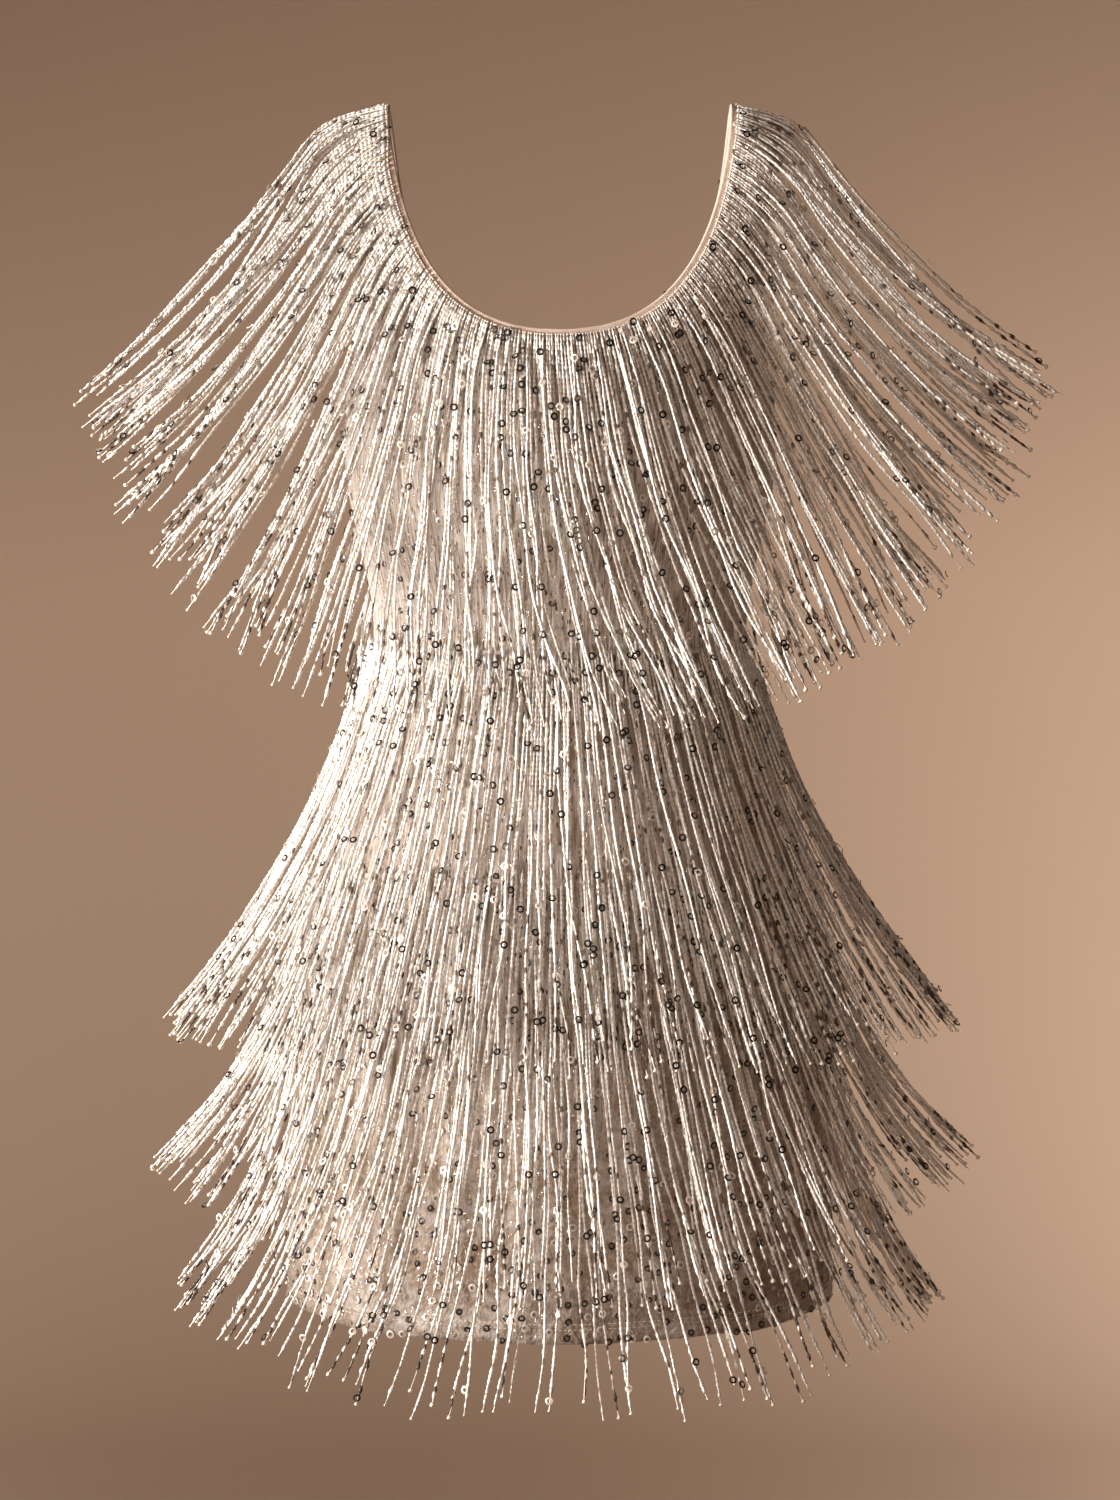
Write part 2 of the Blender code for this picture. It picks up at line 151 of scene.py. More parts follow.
# The body that fills the dress: level, half width, depth in front and behind
bodyForm = {
    "level": [-.84, -.64, -.60, -.55, -.51, -.465, -.43, -.395, -.367, -.34, -.308, -.283, -.25, -.20,
              -.1575, -.10, -.05, 0],
    "halfWidth": [.191, .1865, .1825, .175, .1665, .1555, .1465, .137, .1303, .1315, .138, .1437, .149,
                  .149, .156, .172, .185, .20],
    front: [.120, .111, .109, .106, .103, .100, .096, .093, .093, .098, .107, .112, .113, .106, .097,
            .080, .056, .036],
    back: [.121, .125, .126, .124, .118, .108, .098, .089, .086, .087, .090, .092, .093, .090, .084,
           .072, .052, .034],
    "roundness": 0.92,
    "shoulderRound": 0.036,
    "hem": -0.833, "hemDip": 0.005, "waist": -0.367, "chest": -0.240, "underarm": -0.200,
    "waves": 8, "waveDepth": 0.0025, "waveStart": -0.640,  # the skirt's soft folds
}
neckLine = {
    "halfWidth": 0.1184, "drop": {front: 0.1575, back: 0.190}, "squareness": 2.3, "taper": 0.0035,
    "shoulderFall": 0.016,
}
armhole = {
    "share": [0, .2, .5, .8, 1],
    "halfWidth": [.149, .1405, .1385, .148, .163],
    "level": [-.200, -.172, -.115, -.052, -.016],
}


def halfWidthAt(z):
    return smoothCurve(bodyForm["level"], bodyForm["halfWidth"], z)


def depthAt(side, z):
    return smoothCurve(bodyForm["level"], bodyForm[side], z)


def ridgeLevel(x):  # the shoulder falls from the neck to its tip
    run = armhole["halfWidth"][-1] - neckLine["halfWidth"]
    return -neckLine["shoulderFall"] * np.clip((np.abs(x) - neckLine["halfWidth"]) / run, 0, 1)


def clothPoint(side, x, z):
    x, z = np.broadcast_arrays(np.asarray(x, float), np.asarray(z, float))
    half = halfWidthAt(z)
    sine = np.clip(x / half, -1, 1)
    below = np.clip((ridgeLevel(x) - z) / bodyForm["shoulderRound"], 0, 1)
    y = side * depthAt(side, z) * np.sqrt(1 - sine * sine) ** bodyForm["roundness"]
    y = y * np.sqrt(1 - (1 - below) ** 2)
    start = bodyForm["waveStart"]
    swell = smoothShare((start - z) / (start - bodyForm["hem"])) * bodyForm["waveDepth"]
    wave = 1 + swell * np.cos(bodyForm["waves"] * np.arcsin(sine)) / half
    return np.stack([x * wave, y * wave, z], axis=-1)


def surfaceFrame(side, x, z, dx, dz):  # point, outward normal, and the direction (dx, dz) laid on the cloth
    step = 0.001
    point = clothPoint(side, x, z)
    alongX = unit(clothPoint(side, x + step, z) - clothPoint(side, x - step, z))
    alongZ = unit(clothPoint(side, x, z + step / 2) - clothPoint(side, x, z - step))
    normal = unit(np.cross(alongX, alongZ))
    normal = normal * np.where(normal[..., 1:2] * side > 0, 1, -1)
    down = np.stack(np.broadcast_arrays(dx, np.zeros_like(x), dz), axis=-1)
    down = unit(down - normal * (down * normal).sum(-1, keepdims=True))
    return point, normal, down


def aroundNormal(side, angle, z):
    flat = np.zeros_like(angle * z)
    return unit(np.stack([np.sin(angle) / halfWidthAt(z) + flat,
                          side * np.cos(angle) / depthAt(side, z) + flat, flat], axis=-1))


def aroundPoint(side, angle, z, out):
    point = clothPoint(side, halfWidthAt(z) * np.sin(angle), z)
    return point + np.asarray(out)[..., None] * aroundNormal(side, angle, z)


def neckCurve(side, shares):  # (x, z) of the neck's edge on the +X half
    angle = np.linspace(0, math.pi / 2, 400)
    power = 2 / neckLine["squareness"]
    fall = np.cos(angle) ** power
    x = neckLine["halfWidth"] * np.sin(angle) ** power - neckLine["taper"] * np.sin(math.pi * fall)
    z = -neckLine["drop"][side] * fall
    length = np.concatenate([[0], np.cumsum(np.hypot(np.diff(x), np.diff(z)))])
    at = np.asarray(shares) * length[-1]
    return np.interp(at, length, x), np.interp(at, length, z)


def neckFrame(side, place, inset):  # place runs from -1 to 1 along the neck, inset away from its edge
    step = 0.004
    share, mirror = np.abs(place), np.where(np.asarray(place) >= 0, 1.0, -1.0)
    x0, z0 = neckCurve(side, np.maximum(share - step, 0))
    x1, z1 = neckCurve(side, np.minimum(share + step, 1))
    x, z = neckCurve(side, share)
    along = unit(np.stack([x1 - x0, z1 - z0], axis=-1))
    awayX, awayZ = along[..., 1], -along[..., 0]
    parts = surfaceFrame(side, x + awayX * inset, z + awayZ * inset, awayX, awayZ)
    flip = np.stack([mirror, np.ones_like(mirror), np.ones_like(mirror)], axis=-1)
    return [part * flip for part in parts]


# Camera at the photograph's viewing angle, and the stage
cameraView = {"target": (0, 0, -0.4456), "distance": 2.4, "elevation": 5.0, "lens": 82.286, "sensor": 36}


def makeCamera():
    camera = bpy.data.cameras.new("camera")
    camera.lens, camera.sensor_width, camera.sensor_fit = cameraView["lens"], cameraView["sensor"], "AUTO"
    holder = bpy.data.objects.new("camera", camera)
    bpy.context.scene.collection.objects.link(holder)
    tilt = math.radians(cameraView["elevation"])
    away = Vector((0, -math.cos(tilt), math.sin(tilt))) * cameraView["distance"]
    holder.location = Vector(cameraView["target"]) + away
    holder.rotation_euler = (math.pi / 2 - tilt, 0, 0)
    bpy.context.scene.camera = holder


stageForm = {"floor": -1.90, "wall": 4.6, "curve": 1.4, "halfWidth": 7.0, "front": -6.0, "top": 5.0}


def makeStage():
    floor, wall, curve = stageForm["floor"], stageForm["wall"], stageForm["curve"]
    turn = np.linspace(0, math.pi / 2, 16)
    profile = [(stageForm["front"], floor)]
    profile += [(wall - curve + curve * math.sin(a), floor + curve - curve * math.cos(a)) for a in turn]
    profile.append((wall, stageForm["top"]))
    points = [(x, y, z) for y, z in profile for x in (-stageForm["halfWidth"], stageForm["halfWidth"])]
    faces = [(2 * k, 2 * k + 1, 2 * k + 3, 2 * k + 2) for k in range(len(profile) - 1)]
    sweep = addPiece("backdropSweep", meshOf("backdropSweep", points, faces=faces))
    sweep.data.shade_smooth()
    # Seamless background paper: dead matt, no grain at this distance
    paper, _, _ = newMaterial("seamlessPaper", {
        "Base Color": hexColour("#c8ad96"), "Roughness": 0.95, "Specular IOR Level": 0.1})
    sweep.data.materials.append(paper)


# Soft studio light: one large lamp low at the left, weak ones at the right and high behind, two for the paper
lamps = {
    "keyLeft": {"at": (-2.26, -0.92, -0.32), "to": (0, 0, -0.42), "size": (0.9, 1.1),
                "power": 33, "spread": 84, "colour": "#fffaf4"},
    "fillFront": {"at": (-1.0, -3.1, 0.2), "to": (0, 0, -0.45), "size": (1.6, 1.6),
                  "power": 24, "spread": 180, "colour": "#ffe0c8"},
    "stripRight": {"at": (2.0, -0.55, -0.45), "to": (0, 0, -0.45), "size": (0.25, 1.7),
                   "power": 2.4, "spread": 180, "colour": "#fff8f2"},
    "paperRight": {"at": (2.65, 2.28, -1.38), "to": (0.30, 4.6, -1.90), "size": (1.0, 1.0),
                   "power": 54, "spread": 150, "colour": "#fffaf6"},
    "paperLeft": {"at": (-2.45, 2.20, -1.15), "to": (-0.10, 4.6, -1.45), "size": (1.4, 1.4),
                  "power": 21, "spread": 150, "colour": "#fffaf6"},
    "topBack": {"at": (-1.3, 2.7, 1.9), "to": (0, 0.1, -0.5), "size": (1.2, 1.2),
                "power": 4, "spread": 60, "colour": "#fff4ea"},
}
dusk = {"colour": "#c98f5f", "strength": 0.06}  # the little light that comes from everywhere


def makeLamps():
    for name, lamp in lamps.items():
        light = bpy.data.lights.new(name, "AREA")
        light.shape, (light.size, light.size_y) = "RECTANGLE", lamp["size"]
        light.energy, light.color = lamp["power"], hexColour(lamp["colour"])[:3]
        light.spread = math.radians(lamp["spread"])
        holder = bpy.data.objects.new(name, light)
        bpy.context.scene.collection.objects.link(holder)
        holder.location = lamp["at"]
        aim = Vector(lamp["to"]) - Vector(lamp["at"])
        holder.rotation_euler = aim.to_track_quat("-Z", "Y").to_euler()
    world = bpy.data.worlds.new("studioDusk")
    world.use_nodes = True
    background = world.node_tree.nodes["Background"]
    background.inputs["Color"].default_value = hexColour(dusk["colour"])
    background.inputs["Strength"].default_value = dusk["strength"]
    bpy.context.scene.world = world
    bpy.context.scene.view_settings.view_transform = "Standard"


makeCamera()
makeStage()
makeLamps()
print("camera, stage and lamps are set")


# Materials
clothLook = {
    "streaks": 420.0, "crinkle": 190.0, "patches": 24.0, "cells": 430.0,  # to the metre: 2.4, 5.3, 42 and 2.3 mm
    "plainToDrawn": (-0.74, -0.62), "darkerHemBand": (-0.8012, -0.7995),  # levels
    # gap is the colour of the painted shade between the strands
    "tones": ((0.42, "#9e8874"), (0.66, "#f5ece5")), "gap": "#5c4b40", "foil": "#efe6dd",
    "shadeSpotShare": 0.30, "foilFrom": 0.78, "spot": 0.30,
}


def makeMeshCloth():
    # Nylon and elastane stretch mesh, heat crinkled and dusted with foil dots: dull and pinkish, with streaks about
    # 2.4 mm apart in the way the fringe falls, crinkle in the bump and painted shade of the strands in the colour,
    # short dark spots of painted shade between the strands, and small glints of foil
    look = clothLook
    material, tree, shader = newMaterial("crinkledStretchMesh", {
        "Sheen Weight": 0.25, "Sheen Roughness": 0.4, "IOR": 1.53})
    place = addNode(tree, "ShaderNodeTexCoord").outputs["Object"]
    flow = addNode(tree, "ShaderNodeAttribute", attribute_name="flow").outputs["Vector"]
    drawn = addNode(tree, "ShaderNodeMapping", {"Vector": flow, "Scale": (1, 0.09, 1)}).outputs[0]
    streak = addNode(tree, "ShaderNodeTexNoise", {
        "Vector": drawn, "Scale": look["streaks"], "Detail": 3.0, "Roughness": 0.6}).outputs["Fac"]
    crinkle = addNode(tree, "ShaderNodeTexNoise", {
        "Vector": place, "Scale": look["crinkle"], "Detail": 4.0, "Roughness": 0.6}).outputs["Fac"]
    patches = addNode(tree, "ShaderNodeTexNoise", {
        "Vector": place, "Scale": look["patches"], "Detail": 3.0}).outputs["Fac"]
    # The painted strand shade fades down the skirt, where the cloth shows plain between the strands
    height = addNode(tree, "ShaderNodeSeparateXYZ", {"Vector": place}).outputs["Z"]
    drawnShare = addNode(tree, "ShaderNodeMapRange", {
        "Value": height, "From Min": look["plainToDrawn"][0], "From Max": look["plainToDrawn"][1],
        "To Min": 0.12, "To Max": 1.0}).outputs[0]
    mottle = addNode(tree, "ShaderNodeMath", {0: patches, 1: 0.45}, operation="MULTIPLY").outputs[0]
    mottle = addNode(tree, "ShaderNodeMath", {0: crinkle, 1: 0.46, 2: mottle}, operation="MULTIPLY_ADD").outputs[0]
    # The streaks in the colour are painted shade of the strands lying on the cloth
    lines = addNode(tree, "ShaderNodeMath", {0: streak, 1: 0.75}, operation="MULTIPLY").outputs[0]
    lines = addNode(tree, "ShaderNodeMath", {0: mottle, 1: 0.33, 2: lines}, operation="MULTIPLY_ADD").outputs[0]
    tone = addNode(tree, "ShaderNodeMix", {0: drawnShare, 2: mottle, 3: lines}, data_type="FLOAT").outputs[0]
    ramp = addNode(tree, "ShaderNodeValToRGB", {"Fac": tone})
    for stop, (position, code) in zip(ramp.color_ramp.elements, look["tones"]):
        stop.position, stop.color = position, hexColour(code)
    # Cells 2.3 mm wide and 5.5 mm long: some are dark spots of painted shade between the strands,
    # some are foil dots, tilted at random
    short = addNode(tree, "ShaderNodeMapping", {"Vector": flow, "Scale": (1, 0.42, 1)}).outputs[0]
    shadeAndFoilCells = addNode(tree, "ShaderNodeTexVoronoi", {"Vector": short, "Scale": look["cells"]})
    kind = addNode(tree, "ShaderNodeSeparateColor", {"Color": shadeAndFoilCells.outputs["Color"]})
    isShadeSpot = addNode(tree, "ShaderNodeMath", {
        0: kind.outputs[0], 1: look["shadeSpotShare"]}, operation="LESS_THAN").outputs[0]
    isFoil = addNode(tree, "ShaderNodeMath", {
        0: kind.outputs[0], 1: look["foilFrom"]}, operation="GREATER_THAN").outputs[0]
    isNear = addNode(tree, "ShaderNodeMath", {
        0: shadeAndFoilCells.outputs["Distance"], 1: look["spot"]}, operation="LESS_THAN").outputs[0]
    isShadeSpot = addNode(tree, "ShaderNodeMath", {0: isShadeSpot, 1: isNear}, operation="MULTIPLY").outputs[0]
    isShadeSpot = addNode(tree, "ShaderNodeMath", {0: isShadeSpot, 1: drawnShare}, operation="MULTIPLY").outputs[0]
    isFoil = addNode(tree, "ShaderNodeMath", {0: isFoil, 1: isNear}, operation="MULTIPLY").outputs[0]
    colour = addNode(tree, "ShaderNodeMix", {
        0: isShadeSpot, 6: ramp.outputs["Color"], 7: hexColour(look["gap"])}, data_type="RGBA").outputs[2]
    colour = addNode(tree, "ShaderNodeMix", {
        0: isFoil, 6: colour, 7: hexColour(look["foil"])}, data_type="RGBA").outputs[2]
    gloss = addNode(tree, "ShaderNodeMapRange", {"Value": isFoil, "To Min": 0.55, "To Max": 0.2}).outputs[0]
    # The lowest band, up to about 33 mm above the hem, is darker
    hemBandTone = addNode(tree, "ShaderNodeMapRange", {
        "Value": height, "From Min": look["darkerHemBand"][0], "From Max": look["darkerHemBand"][1],
        "To Min": 0.80, "To Max": 1.0}).outputs[0]
    colour = addNode(tree, "ShaderNodeMix", {
        0: 1.0, 6: colour, 7: hemBandTone}, data_type="RGBA", blend_type="MULTIPLY").outputs[2]
    tree.links.new(colour, shader.inputs["Base Color"])
    tree.links.new(gloss, shader.inputs["Roughness"])
    tree.links.new(isFoil, shader.inputs["Metallic"])
    relief = addNode(tree, "ShaderNodeMath", {
        0: streak, 1: drawnShare, 2: crinkle}, operation="MULTIPLY_ADD").outputs[0]
    bumpCloth = addNode(tree, "ShaderNodeBump", {"Height": relief, "Distance": 0.003, "Strength": 0.9})
    tilt = addNode(tree, "ShaderNodeMath", {0: kind.outputs[1], 1: isFoil}, operation="MULTIPLY").outputs[0]
    bumpFoil = addNode(tree, "ShaderNodeBump", {
        "Height": tilt, "Distance": 0.0008, "Strength": 0.6, "Normal": bumpCloth.outputs[0]})
    tree.links.new(bumpFoil.outputs[0], shader.inputs["Normal"])
    return material


def makeTape():
    # Nude satin bias tape: fine cross rib every 0.5 mm, soft sheen, paler where the fold wears
    material, tree, shader = newMaterial("satinBiasTape", {"Roughness": 0.48, "Sheen Weight": 0.3, "IOR": 1.5})
    place = addNode(tree, "ShaderNodeTexCoord").outputs["Object"]
    ribs = addNode(tree, "ShaderNodeTexWave", {
        "Vector": place, "Scale": 620.0, "Distortion": 2.0, "Detail": 1.0}, bands_direction="DIAGONAL")
    blotch = addNode(tree, "ShaderNodeTexNoise", {"Vector": place, "Scale": 60.0, "Detail": 3.0}).outputs["Fac"]
    colour = addNode(tree, "ShaderNodeMix", {
        0: blotch, 6: hexColour("#e6c8b4"), 7: hexColour("#f8e6d8")}, data_type="RGBA").outputs[2]
    tree.links.new(colour, shader.inputs["Base Color"])
    bump = addNode(tree, "ShaderNodeBump", {"Height": ribs.outputs["Fac"], "Distance": 0.0002, "Strength": 0.5})
    tree.links.new(bump.outputs[0], shader.inputs["Normal"])
    return material


def makeSequinFilm(name, tones, constants, lapPaintedShade):
    # Polyester film, metallised and lacquered, stamped into cups with dents about 1 mm across: each has its own
    # tone, and a strung one has painted shade towards its ends, where the next one laps over it
    material, tree, shader = newMaterial(name, constants)
    tone = addNode(tree, "ShaderNodeAttribute", attribute_name="tint").outputs["Fac"]
    ramp = addNode(tree, "ShaderNodeValToRGB", {"Fac": tone})
    for k, (position, code) in enumerate(tones):
        stop = ramp.color_ramp.elements[k] if k < 2 else ramp.color_ramp.elements.new(position)
        stop.position, stop.color = position, hexColour(code)
    colour = ramp.outputs["Color"]
    # Painted shade: the colour darkens towards the sequin's ends, where the next one laps over it
    if lapPaintedShade < 1:
        toEnd = addNode(tree, "ShaderNodeAttribute", attribute_name="toEnd").outputs["Fac"]
        shade = addNode(tree, "ShaderNodeMapRange", {
            "Value": toEnd, "From Min": 0.18, "From Max": 0.34, "To Min": 1.0, "To Max": lapPaintedShade}).outputs[0]
        colour = addNode(tree, "ShaderNodeMix", {
            0: 1.0, 6: colour, 7: shade}, data_type="RGBA", blend_type="MULTIPLY").outputs[2]
    tree.links.new(colour, shader.inputs["Base Color"])
    place = addNode(tree, "ShaderNodeTexCoord").outputs["Object"]
    dents = addNode(tree, "ShaderNodeTexNoise", {"Vector": place, "Scale": 900.0, "Detail": 1.0}).outputs["Fac"]
    bump = addNode(tree, "ShaderNodeBump", {"Height": dents, "Distance": 0.0003, "Strength": 0.5})
    tree.links.new(bump.outputs[0], shader.inputs["Normal"])
    return material


def makeThread():
    # Spun polyester thread: matt, ivory, plies drawn 0.8 mm apart so that they show
    material, tree, shader = newMaterial("spunThread", {"Roughness": 0.7, "Sheen Weight": 0.2})
    place = addNode(tree, "ShaderNodeTexCoord").outputs["Object"]
    ply = addNode(tree, "ShaderNodeTexNoise", {"Vector": place, "Scale": 1200.0, "Detail": 1.0}).outputs["Fac"]
    colour = addNode(tree, "ShaderNodeMix", {
        0: ply, 6: hexColour("#e4d7c9"), 7: hexColour("#fbf5ee")}, data_type="RGBA").outputs[2]
    tree.links.new(colour, shader.inputs["Base Color"])
    return material


meshCloth = makeMeshCloth()
tape = makeTape()
thread = makeThread()
# Tones below 0.07 are painted shade: here and there a cup sequin is dark brown, for the shaded gaps between the
# strands
strandFilm = makeSequinFilm(
    "ivoryPearlFilm", ((0, "#54453a"), (0.07, "#f1e8df"), (0.5, "#faf3ec"), (1, "#fffdf9")),
    {"Roughness": 0.42, "Metallic": 0.05, "Coat Weight": 0.12, "Coat Roughness": 0.2}, 0.88)
# Most rings, with a tone below 0.6, are near black: painted reflection of the dark room in the foil; the rest show
# the foil's pale champagne
ringFilm = makeSequinFilm(
    "champagneFoilFilm", ((0, "#17100c"), (0.60, "#2c211b"), (0.67, "#d9ccbf"), (1, "#f8f1e8")),
    {"Roughness": 0.3, "Metallic": 0.2, "Coat Weight": 0.15, "Coat Roughness": 0.08}, 1)
# Glass seed bead with a pearl lustre: smooth, bright and faintly warm
beadGlass, _, _ = newMaterial("pearlSeedBead", {
    "Base Color": hexColour("#f4eadf"), "Roughness": 0.18, "Coat Weight": 0.5, "IOR": 1.5})
print("materials are made")


# Panels: one thin sheet each on its solid's form, with creases pressed in
fan = {"start": -0.25, "top": 0.10, "width": 0.1875, "apart": 0.3}  # above start, the cloth's streaks fan out
panelGrid = {"columns": 50, "skirtRows": 98, "bodiceRows": 27, "chestRows": 10, "yokeRows": 46, "dipFade": 0.05,
             "cloth": 0.0006, "seamGap": 0.0003, "seamFade": 0.012, "crinkle": 0.0006,
             "hemRipple": 0.0014, "rippleFade": 0.03, "rippleScale": 34}
creaseLines = {  # from (x, z) to (x, z), half width, depth, in metres
    front: [
        (-.128, -.225, -.060, -.262, .009, .0022), (.130, -.222, .066, -.258, .009, .0022),
        (-.052, -.272, -.082, -.352, .010, .0020), (.050, -.270, .078, -.350, .011, .0022),
        (-.012, -.285, -.004, -.350, .008, .0012), (-.100, -.300, -.108, -.352, .007, .0014),
        (-.098, -.374, -.022, -.392, .006, .0018), (.018, -.380, .100, -.372, .006, .0018),
        (-.070, -.405, .030, -.414, .007, .0014), (.118, -.440, .040, -.470, .010, .0018),
        (-.122, -.445, -.050, -.482, .010, .0018), (-.150, -.560, -.060, -.590, .012, .0016),
        (.152, -.555, .070, -.600, .012, .0018), (-.155, -.640, -.165, -.826, .011, .0030),
        (-.098, -.675, -.105, -.829, .010, .0026), (-.030, -.650, -.042, -.831, .012, .0028),
        (.035, -.690, .030, -.832, .010, .0024), (.092, -.655, .104, -.830, .011, .0030),
        (.150, -.640, .160, -.827, .010, .0026),
    ],
    back: [
        (-.070, -.350, .066, -.356, .007, .0018), (-.060, -.374, .074, -.378, .006, .0020),
        (-.080, -.398, .050, -.404, .008, .0016), (-.124, -.230, -.074, -.290, .010, .0020),
        (.126, -.232, .070, -.292, .010, .0020), (-.112, -.450, -.040, -.500, .011, .0018),
        (.110, -.446, .044, -.498, .011, .0018), (-.142, -.630, -.150, -.828, .011, .0028),
        (-.070, -.665, -.078, -.831, .012, .0026), (.004, -.640, .000, -.832, .011, .0024),
        (.076, -.660, .084, -.831, .010, .0028), (.146, -.636, .154, -.828, .011, .0028),
    ],
}


def pressedIn(side, x, z):  # depth of the creases at each place
    depth = np.zeros_like(x)
    for x0, z0, x1, z1, width, deep in creaseLines[side]:
        along = ((x - x0) * (x1 - x0) + (z - z0) * (z1 - z0)) / ((x1 - x0) ** 2 + (z1 - z0) ** 2)
        held = np.clip(along, 0, 1)
        off = np.hypot(x - x0 - held * (x1 - x0), z - z0 - held * (z1 - z0))
        depth += deep * np.exp(-(off / width) ** 2) * np.sqrt(np.sin(math.pi * np.clip(along, 0.02, 0.98)))
    return depth


def crinkleAt(point):
    lumps = noise.noise(Vector((point[0] * 95, point[1] * 95, point[2] * 38)))
    fine = noise.noise(Vector((point[0] * 210, point[1] * 210, point[2] * 120)))
    return 0.5 + 0.38 * lumps + 0.22 * fine


def pressedCloth(side, x, z, lift=0.0):  # places on the creased cloth, lifted off it; the seams stay put
    place, normal, _ = surfaceFrame(side, x, z, 0.0, -1.0)
    fade = smoothShare(np.abs(place[:, 1]) / panelGrid["seamFade"])
    crinkle = np.array([crinkleAt(p) for p in place]) * panelGrid["crinkle"]
    return place - normal * ((pressedIn(side, x, z) + crinkle) * fade - lift)[:, None]


def keptApart(side, place):  # half a seam gap is left where the two panels meet
    place[:, 1] = side * np.maximum(side * place[:, 1], panelGrid["seamGap"] / 2)
    return place


def panelRows(side):  # rows of (x, z) from the hem to the shoulder, on the +X half
    form, drop, count = bodyForm, neckLine["drop"][side], panelGrid["columns"]
    across = np.linspace(0, 1, count + 1)
    rows = []
    levels = np.concatenate([
        np.linspace(form["hem"], form["waist"], panelGrid["skirtRows"], endpoint=False),
        np.linspace(form["waist"], form["chest"], panelGrid["bodiceRows"] + 1)])
    for level in levels:
        dip = form["hemDip"] * smoothShare((form["hem"] + panelGrid["dipFade"] - level) / panelGrid["dipFade"])
        rows.append((level - dip * (1 - smoothShare(across)), np.sin(across * math.pi / 2), None))
    for w in np.linspace(0, 1, panelGrid["chestRows"] + 1)[1:-1]:
        centre = form["chest"] + (-drop - form["chest"]) * w
        edge = form["chest"] + (form["underarm"] - form["chest"]) * w
        share = smoothShare(across) * (1 - w) + across * w
        rows.append((centre + (edge - centre) * share, np.sin(across * math.pi / 2), None))
    shares = 1 - (1 - np.linspace(0, 1, panelGrid["yokeRows"] + 1)) ** 1.3
    neckX, neckZ = neckCurve(side, shares)
    for k, share in enumerate(shares):
        armX = smoothCurve(armhole["share"], armhole["halfWidth"], share)
        armZ = smoothCurve(armhole["share"], armhole["level"], share)
        bunching = min(share * 3, 1.0)
        spread = (1 - bunching) * np.sin(across * math.pi / 2) + bunching * across
        rows.append((neckZ[k] + (armZ - neckZ[k]) * across, None, neckX[k] + (armX - neckX[k]) * spread))
    return [(halfWidthAt(z) * sine if x is None else x, z) for z, sine, x in rows]


def makePanel(side):
    rows = panelRows(side)
    lower = len(rows) - panelGrid["yokeRows"]
    points, halves = [], []
    for k, (x, z) in enumerate(rows):
        right = list(range(len(points), len(points) + len(x)))
        points += [(px, pz) for px, pz in zip(x, z)]
        left = list(range(len(points), len(points) + len(x) - 1))
        points += [(-px, pz) for px, pz in zip(x[1:], z[1:])]
        if k < lower:
            halves.append((right, [right[0]] + left))
        else:
            points.append((-x[0], z[0]))
            halves.append((right, [len(points) - 1] + left))
    x, z = np.array(points).T
    place = pressedCloth(side, x, z)
    scale = panelGrid["rippleScale"]
    ripple = np.array([noise.noise(Vector((p[0] * scale, p[1] * scale, 7.0))) for p in place])
    hemFade = smoothShare((bodyForm["hem"] + panelGrid["rippleFade"] - z) / panelGrid["rippleFade"])
    place[:, 2] += ripple * panelGrid["hemRipple"] * hemFade
    place = keptApart(side, place)
    faces = []
    for low, high in zip(halves, halves[1:]):
        for half, turn in ((0, side == front), (1, side == back)):
            a, b = np.array(low[half]), np.array(high[half])
            quads = np.stack([a[:-1], a[1:], b[1:], b[:-1]], axis=1)
            faces += (quads if turn else quads[:, ::-1]).tolist()
    name = "clothPanel" + sideNames[side]
    sheet = addPiece(name, meshOf(name, place, faces=faces))
    angle = np.arcsin(np.clip(x / halfWidthAt(z), -1, 1))
    narrowing = np.minimum((fan["top"] - z) / (fan["top"] - fan["start"]), 1)
    apart = np.full_like(x, fan["apart"] * side)  # so that the two panels' streaks differ
    flow = np.stack([fan["width"] * angle / narrowing, z, apart], axis=1)
    sheet.data.attributes.new("flow", "FLOAT_VECTOR", "POINT").data.foreach_set("vector", flow.reshape(-1))
    sheet.data.shade_smooth()
    sheet.data.materials.append(meshCloth)
    return sheet


panels = {side: makePanel(side) for side in (front, back)}
print("panels are made")


# Ring sequins scattered on the panels
ringSettings = {"Ring radius": 0.0020, "Band width": 0.0013, "Cup": 0.0004, "Lift": 0.0008,
                "Smallest": 0.85, "Largest": 1.12, "Density": 20000.0, "Spacing": 0.0078, "Lean": 0.34,
                "Hem top": -0.765, "Hem fade": 0.05, "Hem share": 0.75, "Thin share": 0.22}  # they crowd at the hem


